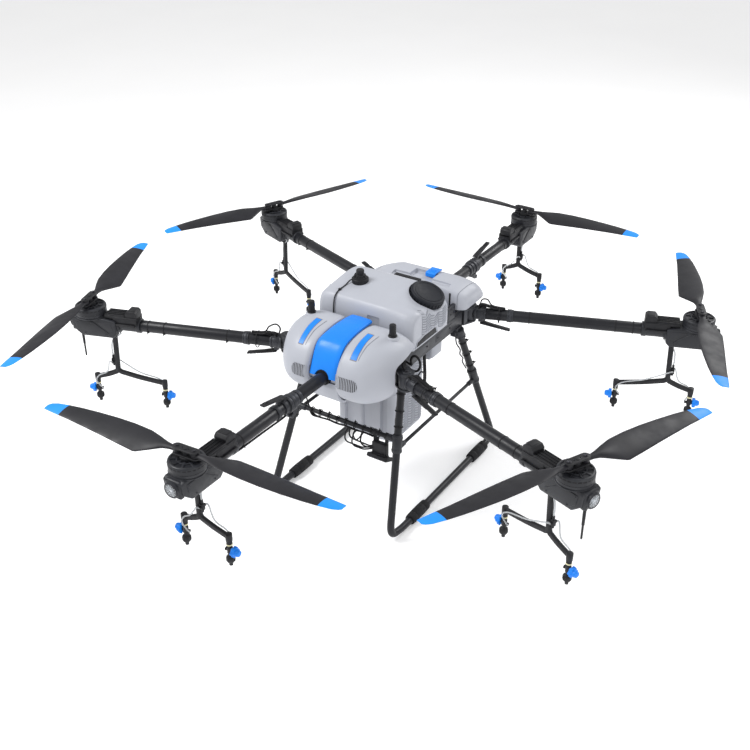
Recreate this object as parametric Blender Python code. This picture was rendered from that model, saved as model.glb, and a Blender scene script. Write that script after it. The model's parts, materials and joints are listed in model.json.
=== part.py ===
"""Six-rotor agricultural spray drone, modelled as an assembly of separate solids.

Metres, +Z up, ground at z = 0. The nose points along -Y and the drone's left side along +X.
Each arm is modelled in its own frame: x runs outward along the arm from its fold joint, y to the arm's
left and z up from the tube's centre line.
"""

import math

import bmesh
import bpy
from mathutils import Matrix, Vector

# ---------------------------------------------------------------- driving dimensions
GAP = 0.0003
HUB_RADIUS = 1.15
ARM_Z = 0.634
TUBE_R = 0.0225
TUBE_SIDES = 12
PIN_OFFSET = 0.032

NOSE_JOINT = 0.655
FRONT_PIVOT = (0.255, -0.31)
REAR_PIVOT = (0.19, 0.27)
HINGE_DROP = 0.042

BEAM_BOTTOM = 0.606
BEAM_TOP = 0.662
RAIL_X = (0.178, 0.195)
RAIL_Z = (0.6065, 0.667)

LEG_R = 0.014
SADDLE_BOTTOM = 0.5988
LEG_TOP_Z = SADDLE_BOTTOM - GAP
LEG_TOP_FRONT = Vector((0.200, -0.245, LEG_TOP_Z))
LEG_TOP_REAR = Vector((0.198, 0.176, LEG_TOP_Z))
SKID_X = 0.275
SKID_Z = 0.022
SLEEVE_SIDES = 12
CROSSBAR_Z = 0.378
BRACE_Z = 0.345

# arm letter: hub bearing from the nose, fold joint, blade headings a and b, spin sense, latch side
ARMS = {
    "A": (0, (0.0, -NOSE_JOINT), -176.0, 2.5, -1, 1),
    "B": (60, FRONT_PIVOT, -116.0, 65.0, 1, -1),
    "C": (120, REAR_PIVOT, 116.0, -65.0, -1, -1),
    "D": (180, (0.0, NOSE_JOINT), 176.0, -0.5, 1, 1),
    "E": (240, (-REAR_PIVOT[0], REAR_PIVOT[1]), -113.0, 72.0, -1, 1),
    "F": (300, (-FRONT_PIVOT[0], FRONT_PIVOT[1]), 112.0, -75.0, 1, -1),
}

# part colours (linear), roughness and metallic value
CARBON = ((0.045, 0.046, 0.055), 0.42, 0.0)
BLACK = ((0.022, 0.022, 0.027), 0.5, 0.0)
DARK_METAL = ((0.10, 0.11, 0.13), 0.45, 0.6)
SHELL = ((0.51, 0.53, 0.60), 0.42, 0.0)
BLUE = ((0.027, 0.30, 0.95), 0.4, 0.0)
BLADE = ((0.028, 0.028, 0.036), 0.45, 0.0)


# ---------------------------------------------------------------- shape helpers
def clear_scene():
    for obj in list(bpy.data.objects):
        bpy.data.objects.remove(obj, do_unlink=True)


def finish_mesh(bm):
    bmesh.ops.recalc_face_normals(bm, faces=bm.faces)
    mesh = bpy.data.meshes.new("shape")
    bm.to_mesh(mesh)
    bm.free()
    obj = bpy.data.objects.new("shape", mesh)
    bpy.context.scene.collection.objects.link(obj)
    return obj


def block(lo, hi, bevel=0.0):
    bm = bmesh.new()
    bmesh.ops.create_cube(bm, size=1.0)
    for vert in bm.verts:
        vert.co = Vector([lo[i] + (vert.co[i] + 0.5) * (hi[i] - lo[i]) for i in range(3)])
    if bevel:
        bmesh.ops.bevel(bm, geom=bm.edges[:], offset=bevel, segments=1, affect="EDGES")
    return finish_mesh(bm)


def loft(rings):
    """Closed solid through rings of equal point counts, capped at both ends."""
    bm = bmesh.new()
    rows = [[bm.verts.new(point) for point in ring] for ring in rings]
    count = len(rings[0])
    for low, high in zip(rows, rows[1:]):
        for i in range(count):
            j = (i + 1) % count
            bm.faces.new((low[i], low[j], high[j], high[i]))
    bm.faces.new(rows[0][::-1])
    bm.faces.new(rows[-1])
    return finish_mesh(bm)


def side_axes(direction):
    """Two unit vectors square to the direction and to each other."""
    up = Vector((0, 0, 1)) if abs(direction.z) < 0.9 else Vector((1, 0, 0))
    side = direction.cross(up).normalized()
    return side, side.cross(direction).normalized()


def circle(centre, side, up, radius, count, turn=0.5):
    points = []
    for i in range(count):
        angle = 2 * math.pi * (i + turn) / count
        points.append(centre + side * (radius * math.cos(angle)) + up * (radius * math.sin(angle)))
    return points


def rod(start, end, radius, sides=12, end_radius=None):
    start, end = Vector(start), Vector(end)
    side, up = side_axes((end - start).normalized())
    last = radius if end_radius is None else end_radius
    return loft([circle(start, side, up, radius, sides), circle(end, side, up, last, sides)])


def bar(start, end, width, height):
    """Rectangular bar between two points."""
    start, end = Vector(start), Vector(end)
    side, up = side_axes((end - start).normalized())
    corners = [(-0.5, -0.5), (0.5, -0.5), (0.5, 0.5), (-0.5, 0.5)]
    rings = []
    for point in (start, end):
        rings.append([point + side * (a * width) + up * (b * height) for a, b in corners])
    return loft(rings)


def prism(outline, axis, low, high):
    """Outline of (a, b) pairs extruded along an axis: 0 gives (y, z) outlines, 1 (x, z), 2 (x, y)."""
    def point(pair, value):
        coords = list(pair)
        coords.insert(axis, value)
        return Vector(coords)

    return loft([[point(pair, low) for pair in outline], [point(pair, high) for pair in outline]])


def round_corners(points, radius, steps=2):
    """Polyline with its inner corners replaced by short arcs."""
    points = [Vector(p) for p in points]
    result = [points[0]]
    for before, corner, after in zip(points, points[1:], points[2:]):
        reach_in = min(radius, (corner - before).length * 0.45)
        reach_out = min(radius, (after - corner).length * 0.45)
        start = corner + (before - corner).normalized() * reach_in
        end = corner + (after - corner).normalized() * reach_out
        for i in range(steps + 1):
            t = i / steps
            result.append(start * (1 - t) ** 2 + corner * (2 * t * (1 - t)) + end * t ** 2)
    result.append(points[-1])
    return result


def sweep(points, radius, sides=10):
    """Round tube along a polyline, its rings turned with the path."""
    points = [Vector(p) for p in points]
    side, up = side_axes((points[1] - points[0]).normalized())
    rings = []
    for i, point in enumerate(points):
        ahead = points[min(i + 1, len(points) - 1)] - points[max(i - 1, 0)]
        ahead.normalize()
        side = (side - ahead * side.dot(ahead)).normalized()
        rings.append(circle(point, side, ahead.cross(side), radius, sides))
    return loft(rings)


def add_boolean(base, tool, operation):
    modifier = base.modifiers.new(operation, "BOOLEAN")
    modifier.operation = operation
    modifier.solver = "EXACT"
    modifier.object = tool


def material(name, look):
    colour, roughness, metallic = look
    made = bpy.data.materials.new(name)
    made.use_nodes = True
    shader = made.node_tree.nodes["Principled BSDF"]
    shader.inputs["Base Color"].default_value = (*colour, 1.0)
    shader.inputs["Roughness"].default_value = roughness
    shader.inputs["Metallic"].default_value = metallic
    made.diffuse_color = (*colour, 1.0)
    return made


def clean(mesh):
    """Merges the flat slivers that a union leaves, unless that would open the surface."""
    for merge_flat in (True, False):
        bm = bmesh.new()
        bm.from_mesh(mesh)
        bmesh.ops.remove_doubles(bm, verts=bm.verts, dist=0.00001)
        bmesh.ops.dissolve_degenerate(bm, edges=bm.edges, dist=0.00001)
        if merge_flat:
            bmesh.ops.dissolve_limit(bm, angle_limit=math.radians(0.5), verts=bm.verts, edges=bm.edges)
        bmesh.ops.triangulate(bm, faces=bm.faces)
        closed = all(len(edge.link_faces) == 2 for edge in bm.edges)
        if closed or not merge_flat:
            bm.to_mesh(mesh)
        bm.free()
        if closed:
            break


def make(name, look, solids, cuts=(), frame=None, origin=(0, 0, 0)):
    """Unites the solids, takes the cuts away and stores the result as one named object."""
    base = solids[0]
    for tool in solids[1:]:
        add_boolean(base, tool, "UNION")
    for tool in cuts:
        add_boolean(base, tool, "DIFFERENCE")
    graph = bpy.context.evaluated_depsgraph_get()
    mesh = bpy.data.meshes.new_from_object(base.evaluated_get(graph))
    for tool in list(solids) + list(cuts):
        bpy.data.objects.remove(tool, do_unlink=True)
    clean(mesh)
    origin = Vector(origin)
    mesh.transform(Matrix.Translation(-origin) @ (frame or Matrix()))
    mesh.name = name
    mesh.materials.clear()
    mesh.materials.append(material(name, look))
    mesh.shade_smooth()
    mesh.set_sharp_from_angle(angle=math.radians(35))
    obj = bpy.data.objects.new(name, mesh)
    obj.location = origin
    bpy.context.scene.collection.objects.link(obj)
    return obj


# ---------------------------------------------------------------- arms
def hub_point(bearing):
    angle = math.radians(bearing)
    return Vector((HUB_RADIUS * math.sin(angle), -HUB_RADIUS * math.cos(angle), ARM_Z))


def arm_frame(letter):
    """Matrix from the arm's frame to the drone's, and the distance from fold joint to hub."""
    bearing, pivot = ARMS[letter][:2]
    joint = Vector((*pivot, ARM_Z))
    reach = hub_point(bearing) - joint
    heading = math.atan2(reach.y, reach.x)
    return Matrix.Translation(joint) @ Matrix.Rotation(heading, 4, "Z"), reach.length


def folds_down(letter):
    return letter in "AD"


def make_arm(letter):
    frame, length = arm_frame(letter)
    tube_end = length - 0.035
    solids = [rod((0.012, 0, 0), (tube_end, 0, 0), TUBE_R, TUBE_SIDES)]
    if folds_down(letter):
        solids.append(rod((0.0006, 0, 0), (0.016, 0, 0), 0.031, 12))
        solids.append(rod((0.060, 0, 0), (0.078, 0, 0), 0.0255, TUBE_SIDES))
        solids.append(rod((0, -0.011, -HINGE_DROP), (0, 0.011, -HINGE_DROP), 0.0085, 8))
        solids.append(block((0.0015, -0.011, -0.046), (0.015, 0.011, -0.02)))
        solids.append(block((0.010, -0.009, 0.018), (0.030, 0.009, 0.0330)))
        origin = frame @ Vector((0, 0, -HINGE_DROP))
    else:
        solids.append(rod((0, 0, -0.024), (0, 0, 0.024), 0.027, 12))
        solids.append(rod((0.018, 0, 0), (0.064, 0, 0), 0.0250, TUBE_SIDES))
        solids.append(rod((0.150, 0, 0), (0.168, 0, 0), 0.0255, TUBE_SIDES))
        side = ARMS[letter][5]
        low, high = sorted((side * 0.018, side * 0.0330))
        solids.append(block((0.038, -0.009, low), (0.056, 0.009, high)))
        origin = frame.to_translation()
    make(f"arm_tube_{letter}", CARBON, solids, frame=frame, origin=origin)


def make_motor_mount(letter):
    """Pod under the motor with its lamp, and the speed controller box riding on the tube."""
    frame, length = arm_frame(letter)
    pod = [(-0.112, 0.022), (-0.112, -0.034), (-0.098, -0.048), (0.030, -0.048), (0.064, -0.018)]
    pod += [(0.070, 0.024), (0.058, 0.031), (-0.060, 0.031)]
    solids = [prism([(length + s, z) for s, z in pod], 1, -0.042, 0.042)]
    solids.append(rod((length, 0, 0.02), (length, 0, 0.0345), 0.057, 14))
    solids.append(rod((length + 0.060, 0, 0.0), (length + 0.082, 0, 0.0), 0.027, 10))
    solids.append(block((length - 0.195, -0.029, 0.004), (length - 0.100, 0.029, 0.048)))
    solids.append(block((length - 0.195, -0.025, 0.040), (length - 0.150, 0.025, 0.066)))
    solids.append(rod((length - 0.204, 0, 0), (length - 0.186, 0, 0), 0.0285, 12))
    bore = rod((length - 0.25, 0, 0), (length - 0.035 + GAP, 0, 0), TUBE_R + GAP, TUBE_SIDES)
    make(f"motor_mount_{letter}", DARK_METAL, solids, [bore], frame, frame @ Vector((length, 0, 0)))


def make_rotor(letter):
    """Motor bell with the folding-blade clamp and its two pins."""
    blade_a, blade_b = ARMS[letter][2:4]
    heading = math.radians((blade_a + blade_b - 180) / 2 + (180 if blade_a < blade_b else 0))
    centre = hub_point(ARMS[letter][0])
    frame = Matrix.Translation(centre) @ Matrix.Rotation(heading, 4, "Z")
    solids = [loft([circle(Vector((0, 0, z)), Vector((1, 0, 0)), Vector((0, 1, 0)), r, 18)
                    for r, z in ((0.059, 0.0350), (0.059, 0.0640), (0.052, 0.0700))])]
    solids.append(rod((0, 0, 0.066), (0, 0, 0.079), 0.020, 8))
    solids.append(block((-0.050, -0.015, 0.0775), (0.050, 0.015, 0.0835)))
    solids.append(rod((0, 0, 0.080), (0, 0, 0.103), 0.010, 6))
    solids.append(block((-0.046, -0.013, 0.1005), (0.046, 0.013, 0.1055)))
    for x in (-PIN_OFFSET, PIN_OFFSET):
        solids.append(rod((x, 0, 0.080), (x, 0, 0.108), 0.004, 6))
    make(f"rotor_{letter}", BLACK, solids, frame=frame, origin=centre)
    return frame


# span from the pin, leading edge, trailing edge, half thickness, twist in degrees
BLADE_SECTIONS = [
    (0.000, 0.0110, -0.0110, 0.0070, 0.0),
    (0.040, 0.0130, -0.0150, 0.0068, 8.0),
    (0.120, 0.0350, -0.0620, 0.0050, 14.0),
    (0.260, 0.0415, -0.0460, 0.0038, 10.0),
    (0.400, 0.0340, -0.0310, 0.0028, 8.0),
    (0.490, 0.0200, -0.0240, 0.0020, 6.5),
    (0.513, 0.0040, -0.0210, 0.0015, 6.0),
]


def blade_ring(section, spin):
    span, lead, trail, half, twist = section
    ring = []
    crest = lead * 0.5 + trail * 0.5
    edge = 0.25 * half
    outline = [(lead, 0.0), (crest, half), (trail, edge), (trail, -edge), (crest, -half)]
    for across, height in outline:
        angle = math.radians(twist)
        y = across * math.cos(angle) - height * math.sin(angle)
        z = across * math.sin(angle) + height * math.cos(angle)
        ring.append(Vector((span, spin * y, 0.092 + z)))
    return ring


def make_blade(letter, tag, heading, hub_frame):
    side = 1 if tag == "b" else -1
    pin = hub_frame @ Vector((side * PIN_OFFSET, 0, 0))
    spin = ARMS[letter][4]
    frame = Matrix.Translation(pin) @ Matrix.Rotation(math.radians(heading), 4, "Z")
    solids = [rod((0, 0, 0.0845), (0, 0, 0.0995), 0.0125, 10)]
    solids.append(loft([blade_ring(section, spin) for section in BLADE_SECTIONS]))
    hole = rod((0, 0, 0.07), (0, 0, 0.12), 0.0048, 6)
    make(f"blade_{letter}_{tag}", BLADE, solids, [hole], frame, pin)


def nozzle(x, y, top, knob):
    """Hanging nozzle: socket, body, spray head and the side cap that points along knob."""
    solids = [rod((x, y, top - 0.026), (x, y, top + 0.013), 0.0105, 8)]
    solids.append(rod((x, y, top - 0.080), (x, y, top - 0.020), 0.0085, 8))
    solids.append(rod((x, y, top - 0.098), (x, y, top - 0.072), 0.0135, 8))
    solids.append(rod((x, y, top - 0.112), (x, y, top - 0.095), 0.006, 8))
    reach = Vector(knob) * 0.036
    start = Vector((x, y, top - 0.052))
    solids.append(rod(start, start + reach, 0.0125, 8))
    return solids


def make_boom(letter):
    """Inverted-Y bracket under the motor pod with a nozzle at each end."""
    frame, length = arm_frame(letter)
    if folds_down(letter):
        world_x = 1 if letter == "A" else -1
        top = Vector((length - 0.030, 0, -0.0490))
        fork = Vector((length - 0.030, 0, -0.174))
        ends = [fork + Vector((0, -0.069 * world_x, -0.024)), fork + Vector((0, 0.112 * world_x, -0.026))]
        knobs = [(0, -world_x, 0), (0, world_x, 0)]
    else:
        top = Vector((length - 0.085, 0, -0.0490))
        fork = Vector((length - 0.078, 0, -0.220))
        ends = [Vector((length - 0.270, 0, -0.246)), Vector((length + 0.015, 0, -0.250))]
        knobs = [(-1, 0, 0), (1, 0, 0)]
    solids = [bar(top, fork + Vector((0, 0, -0.008)), 0.020, 0.020)]
    for end, knob in zip(ends, knobs):
        solids.append(bar(fork, end, 0.013, 0.022))
        solids += nozzle(end.x, end.y, end.z, knob)
    make(f"nozzle_boom_{letter}", BLACK, solids, frame=frame, origin=frame @ top)


def make_latch(letter):
    """Lever that locks the fold joint, above or below the tube."""
    frame, _ = arm_frame(letter)
    side = ARMS[letter][5]
    start = 0.012 if folds_down(letter) else 0.040
    outline = [(0.005, 0.0345), (0.006, 0.0405), (0.011, 0.0435), (0.080, 0.056), (0.122, 0.065)]
    outline += [(0.124, 0.057), (0.080, 0.046), (0.024, 0.0345)]
    outline = [(start + x, side * z) for x, z in outline]
    pivot = frame @ Vector((start + 0.008, 0, side * 0.038))
    make(f"latch_{letter}", BLACK, [prism(outline, 1, -0.011, 0.011)], frame=frame, origin=pivot)


# ---------------------------------------------------------------- centre frame
def corner_fork(pivot, root, sign):
    """Two ears above and below an arm's knuckle, and the web that carries them."""
    centre = Vector((sign * pivot[0], pivot[1], ARM_Z))
    base = Vector((sign * root[0], root[1], ARM_Z))
    out = (centre - base).normalized()
    solids = [bar(base, centre - out * 0.034, 0.046, 0.070)]
    for level in (-0.0295, 0.0295):
        lift = Vector((0, 0, level))
        half = Vector((0, 0, 0.0050))
        solids.append(bar(base + lift, centre + lift, 0.044, 0.0085))
        solids.append(rod(centre + lift - half, centre + lift + half, 0.029, 10))
    return solids


def nose_stub(sign):
    """Fixed tube towards the nose (-1) or tail (1), its flange and the two hinge lugs."""
    beam = 0.27 if sign < 0 else 0.215
    face = NOSE_JOINT - GAP
    solids = [rod((0, sign * beam, ARM_Z), (0, sign * (face - 0.005), ARM_Z), TUBE_R, TUBE_SIDES)]
    solids.append(rod((0, sign * (face - 0.016), ARM_Z), (0, sign * face, ARM_Z), 0.031, 12))
    solids.append(rod((0, sign * (face - 0.055), ARM_Z), (0, sign * (face - 0.04), ARM_Z), 0.0265, TUBE_SIDES))
    for low, high in ((-0.021, -0.0115), (0.0115, 0.021)):
        hinge_z = ARM_Z - HINGE_DROP
        solids.append(rod((low, sign * NOSE_JOINT, hinge_z), (high, sign * NOSE_JOINT, hinge_z), 0.0085, 8))
        ends = sorted((sign * (face - 0.015), sign * (face - 0.001)))
        solids.append(block((low + 0.0005, ends[0], hinge_z - 0.004), (high - 0.0005, ends[1], ARM_Z - 0.018)))
    return solids


def make_frame():
    solids = [block((-0.2, -0.287, BEAM_BOTTOM), (0.2, -0.253, BEAM_TOP))]
    solids.append(block((-0.187, 0.200, BEAM_BOTTOM), (0.187, 0.235, BEAM_TOP)))
    solids.append(block((-0.187, 0.060, 0.614), (0.187, 0.100, 0.640)))
    solids.append(block((-0.187, -0.260, 0.650), (0.187, -0.202, 0.658)))
    for sign in (-1, 1):
        low, high = sorted((sign * RAIL_X[0], sign * RAIL_X[1]))
        solids.append(block((low, -0.262, RAIL_Z[0]), (high, 0.205, RAIL_Z[1])))
        solids.append(block((low + 0.001, 0.0925, RAIL_Z[1] - 0.01), (high - 0.001, 0.1495, 0.722)))
        low, high = sorted((sign * 0.174, sign * 0.202))
        for y in (LEG_TOP_FRONT.y, LEG_TOP_REAR.y):
            solids.append(block((low, y - 0.020, SADDLE_BOTTOM), (high, y + 0.020, SADDLE_BOTTOM + 0.014)))
        solids += corner_fork(FRONT_PIVOT, (0.183, -0.268), sign)
        solids += corner_fork(REAR_PIVOT, (0.176, 0.221), sign)
        solids += nose_stub(sign)
    make("frame", DARK_METAL, solids)


# ---------------------------------------------------------------- landing gear
FRONT_BEND = Vector((0.268, -0.430, 0.030))
REAR_BEND = Vector((0.268, 0.385, 0.030))


def leg_point(top, bend, height):
    t = (top.z - height) / (top.z - bend.z)
    return top.lerp(bend, t)


def collar(top, bend, height, radius, half):
    centre = leg_point(top, bend, height)
    along = (bend - top).normalized() * half
    return rod(centre - along, centre + along, radius, 8)


def make_landing_gear(name, sign):
    path = [LEG_TOP_FRONT, FRONT_BEND, (SKID_X, -0.36, SKID_Z), (SKID_X, 0.31, SKID_Z), REAR_BEND, LEG_TOP_REAR]
    path = round_corners(path, 0.05)
    solids = [sweep(path, LEG_R, 8)]
    for top, bend in ((LEG_TOP_FRONT, FRONT_BEND), (LEG_TOP_REAR, REAR_BEND)):
        solids.append(collar(top, bend, 0.585, 0.019, 0.02))
        solids.append(collar(top, bend, 0.365, 0.019, 0.034))
        solids.append(block((top.x - 0.026, top.y - 0.022, 0.590), (top.x - 0.001, top.y + 0.022, LEG_TOP_Z)))
    for y in (-0.30, 0.18):
        side = SKID_Z / math.cos(math.pi / SLEEVE_SIDES)
        solids.append(rod((SKID_X, y, SKID_Z), (SKID_X, y + 0.12, SKID_Z), side, SLEEVE_SIDES))
    above = block((0.1, -0.35, LEG_TOP_Z), (0.3, 0.3, LEG_TOP_Z + 0.1))
    frame = Matrix.Scale(sign, 4, (1, 0, 0))
    obj = make(name, CARBON, solids, [above], frame=frame)
    if sign < 0:
        obj.data.flip_normals()


def make_crossbar():
    end = leg_point(LEG_TOP_FRONT, FRONT_BEND, CROSSBAR_Z)
    reach = end.x - 0.0205
    solids = [rod((-reach, end.y, CROSSBAR_Z), (reach, end.y, CROSSBAR_Z), 0.009, 10)]
    for x in (-0.12, -0.04, 0.04, 0.12):
        solids.append(rod((x - 0.006, end.y, CROSSBAR_Z), (x + 0.006, end.y, CROSSBAR_Z), 0.0125, 8))
    make("front_crossbar", CARBON, solids)


def make_brace(name, sign):
    front = leg_point(LEG_TOP_FRONT, FRONT_BEND, BRACE_Z)
    rear = leg_point(LEG_TOP_REAR, REAR_BEND, BRACE_Z)
    start = Vector((sign * front.x, front.y + 0.0225, BRACE_Z))
    end = Vector((sign * rear.x, rear.y - 0.0225, BRACE_Z))
    make(name, CARBON, [rod(start, end, 0.0065, 10)])


def make_radar():
    bar_y = leg_point(LEG_TOP_FRONT, FRONT_BEND, CROSSBAR_Z).y
    solids = [block((0.112, bar_y - 0.024, 0.268), (0.198, bar_y + 0.006, 0.340), 0.004)]
    for x in (0.128, 0.178):
        solids.append(block((x, bar_y - 0.006, 0.33), (x + 0.006, bar_y + 0.006, 0.3687)))
    make("terrain_radar", BLACK, solids)


# ---------------------------------------------------------------- covers
LOBE = [(-0.200, 0.690), (-0.202, 0.745), (-0.250, 0.766), (-0.350, 0.762), (-0.425, 0.728), (-0.468, 0.665)]
LOBE += [(-0.466, 0.600), (-0.425, 0.556), (-0.360, 0.546), (-0.280, 0.590)]
SPINE = [(-0.200, 0.690), (-0.202, 0.750), (-0.300, 0.754), (-0.385, 0.741), (-0.412, 0.716), (-0.444, 0.650)]
SPINE += [(-0.440, 0.610), (-0.400, 0.590), (-0.340, 0.590), (-0.280, 0.620)]
COVER_CENTRE = (-0.270, 0.655)
LOBE_X = (0.056, 0.072, 0.110, 0.150, 0.185, 0.212, 0.230, 0.238)
ANTENNA_SPOT = (0.173, -0.270)


def quarter(x, start, end):
    """Fall of a quarter ellipse from 0 at its start to 1 at its end."""
    share = min(1.0, max(0.0, (x - start) / (end - start)))
    return 1 - math.sqrt(1 - share * share)


def lobe_section(sign, x, keep=1.0):
    """Side outline of a lobe, drawn in towards its outer end and at its inner edge."""
    cy, cz = COVER_CENTRE
    nose = keep * (1 - 0.91 * quarter(x, 0.108, 0.2382))
    height = keep * (1 - 0.68 * quarter(x, 0.135, 0.2382))
    if x < LOBE_X[2]:
        edge = 0.90 + 0.10 * min(1.0, (x - LOBE_X[0]) / 0.03)
        nose, height = nose * edge, height * edge
    ring = []
    for y, z in LOBE:
        depth = nose if y < cy else keep
        ring.append(Vector((sign * x, cy + (y - cy) * depth, cz + (z - cz) * height)))
    return ring


def lobe(sign):
    return loft([lobe_section(sign, x) for x in LOBE_X])


def make_front_cover():
    solids = [lobe(1), lobe(-1), prism(SPINE, 0, -0.062, 0.062)]
    cuts = []
    for sign in (-1, 1):
        x, y = sign * ANTENNA_SPOT[0], ANTENNA_SPOT[1]
        solids.append(rod((x, y, 0.745), (x, y, 0.7665), 0.020))
        low, high = sorted((sign * 0.171, sign * 0.300))
        cuts.append(block((low, -0.345, 0.500), (high, -0.150, 0.686)))
    for sign in (-1, 1):
        cuts.append(loft([lobe_section(sign, x, 0.90) for x in (0.0755, 0.110, 0.150, 0.185, 0.2055)]))
    inside = [(-0.260, 0.510), (-0.260, 0.735), (-0.300, 0.743), (-0.380, 0.730), (-0.402, 0.710)]
    inside += [(-0.430, 0.650), (-0.426, 0.510)]
    cuts.append(prism(inside, 0, -0.080, 0.080))
    cuts.append(block((-0.176, -0.388, 0.490), (0.176, -0.140, 0.692)))
    cuts.append(block((-0.030, -0.520, 0.480), (0.030, -0.400, 0.6625)))
    make("front_cover", SHELL, solids, cuts)


def make_center_strip():
    """Raised band over the nose, following the cover's spine."""
    inner = [(-0.206, 0.7507), (-0.300, 0.7545), (-0.3855, 0.7415), (-0.413, 0.7165), (-0.4447, 0.650)]
    outer = [(-0.458, 0.646), (-0.424, 0.722), (-0.392, 0.752), (-0.300, 0.7665), (-0.204, 0.765)]
    arch = rod((0, -0.52, ARM_Z), (0, -0.40, ARM_Z), 0.031, 14)
    make("center_strip", BLUE, [prism(inner + outer, 0, -0.0545, 0.0545)], [arch])


def make_antenna(name, sign):
    base = (sign * ANTENNA_SPOT[0], ANTENNA_SPOT[1], 0.7668)
    solids = [rod(base, (base[0], base[1], 0.771), 0.016, 10)]
    solids.append(rod((base[0], base[1], 0.769), (base[0], base[1], 0.812), 0.0125, 10))
    make(name, BLACK, solids)


def make_flight_controller():
    make("flight_controller", BLACK, [block((-0.045, -0.2525, 0.6583), (0.045, -0.206, 0.679), 0.003)])


# ---------------------------------------------------------------- tank, battery, pump
CAP_TILT = math.radians(22.4)
CAP_CENTRE = Vector((0.154, 0.008, 0.819))
CAP_DEPTH = 0.034


def cap_frame():
    return Matrix.Translation(CAP_CENTRE) @ Matrix.Rotation(CAP_TILT, 4, "Y")


def make_tank():
    side = [(-0.186, 0.6673), (-0.186, 0.735), (-0.180, 0.782), (-0.163, 0.808), (-0.120, 0.818)]
    side += [(-0.060, 0.825), (0.020, 0.831), (0.066, 0.820), (0.090, 0.788), (0.090, 0.6673)]
    # distance from the middle, share of the height kept along the front edge and behind it
    steps = [(-0.204, 0.80, 0.80), (-0.198, 0.90, 0.90), (-0.175, 1.0, 1.0), (0.085, 1.0, 1.0)]
    steps += [(0.186, 0.93, 0.745), (0.200, 0.80, 0.60)]
    rings = []
    for x, front, behind in steps:
        ring = []
        for y, z in side:
            share = min(1.0, max(0.0, (y + 0.130) / 0.070))
            height = front + (behind - front) * share
            ring.append(Vector((x, y, 0.6673 + (z - 0.6673) * height)))
        rings.append(ring)
    solids = [loft(rings)]
    solids.append(block((-0.127, -0.188, 0.240), (0.127, 0.042, 0.700), 0.020))
    neck = cap_frame()
    floor = neck @ Vector((0, 0, -CAP_DEPTH - GAP))
    solids.append(rod(neck @ Vector((0, 0, -0.07)), floor, 0.058, 18))
    seat = rod(floor, neck @ Vector((0, 0, 0.06)), 0.0695, 18)
    make("tank", SHELL, solids, [seat], origin=(0, 0, 0.6673))


def make_tank_cap():
    frame = cap_frame()
    solids = [rod((0, 0, -CAP_DEPTH), (0, 0, 0), 0.066, 20)]
    make("tank_cap", BLACK, solids, frame=frame, origin=CAP_CENTRE)


def make_level_sensor():
    x, y = -0.100, -0.060
    floor = 0.829
    solids = [rod((x, y, floor), (x, y, floor + 0.012), 0.031, 16)]
    solids.append(rod((x, y, floor + 0.010), (x, y, floor + 0.028), 0.019, 12))
    solids.append(rod((x, y, floor + 0.026), (x, y, floor + 0.043), 0.014, 10))
    route = [(x - 0.022, y - 0.012, floor + 0.006), (-0.130, -0.104, 0.829), (-0.134, -0.150, 0.8185)]
    route += [(-0.134, -0.173, 0.807), (-0.134, -0.1905, 0.780), (-0.134, -0.1905, 0.728)]
    solids.append(sweep(round_corners(route, 0.012, 2), 0.0025, 8))
    make("level_sensor", BLACK, solids, origin=(x, y, floor))


def make_battery():
    side = [(0.152, 0.692), (0.152, 0.758), (0.162, 0.773), (0.200, 0.7775), (0.235, 0.778), (0.280, 0.771)]
    side += [(0.318, 0.745), (0.335, 0.712), (0.335, 0.700), (0.315, 0.6925)]
    # distance from the middle, share of the height kept, share of the depth kept
    steps = [(-0.228, 0.40, 0.70), (-0.222, 0.46, 0.82), (-0.205, 0.56, 0.94), (-0.182, 0.70, 1.0)]
    steps += [(-0.160, 0.84, 1.0), (-0.120, 1.0, 1.0), (0.120, 1.0, 1.0), (0.170, 0.92, 1.0)]
    steps += [(0.205, 0.76, 0.94), (0.222, 0.60, 0.82), (0.228, 0.45, 0.70)]
    rings = []
    for x, height, depth in steps:
        rings.append([Vector((x, 0.245 + (y - 0.245) * depth, 0.692 + (z - 0.692) * height)) for y, z in side])
    solids = [loft(rings)]
    solids.append(block((-0.118, 0.116, 0.470), (0.118, 0.196, 0.740), 0.010))
    for x in (-0.080, 0.080):
        solids.append(block((x - 0.018, 0.130, 0.456), (x + 0.018, 0.160, 0.480), 0.003))
    ledge = block((-0.100, 0.140, 0.767), (0.150, 0.190, 0.800))
    pocket = block((-0.034, 0.180, 0.764), (0.066, 0.242, 0.810))
    make("battery", SHELL, solids, [ledge, pocket], origin=(0, 0.2, 0.692))


def make_battery_latch():
    outline = [(0.2150, 0.7670), (0.2150, 0.7810), (0.2200, 0.7855), (0.2610, 0.7862), (0.2720, 0.7835)]
    outline += [(0.2720, 0.7795), (0.2270, 0.7795), (0.2215, 0.7760), (0.2215, 0.7670)]
    make("battery_latch", BLUE, [prism(outline, 0, 0.020, 0.062)], origin=(0.041, 0.272, 0.7815))


def make_pump():
    solids = [rod((-0.100, 0.070, 0.315), (0.130, 0.070, 0.315), 0.024, 14)]
    solids.append(block((-0.035, 0.050, 0.290), (0.035, 0.100, 0.370), 0.004))
    solids.append(block((-0.015, 0.066, 0.360), (0.015, 0.086, 0.6137)))
    make("pump", BLACK, solids)


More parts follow.
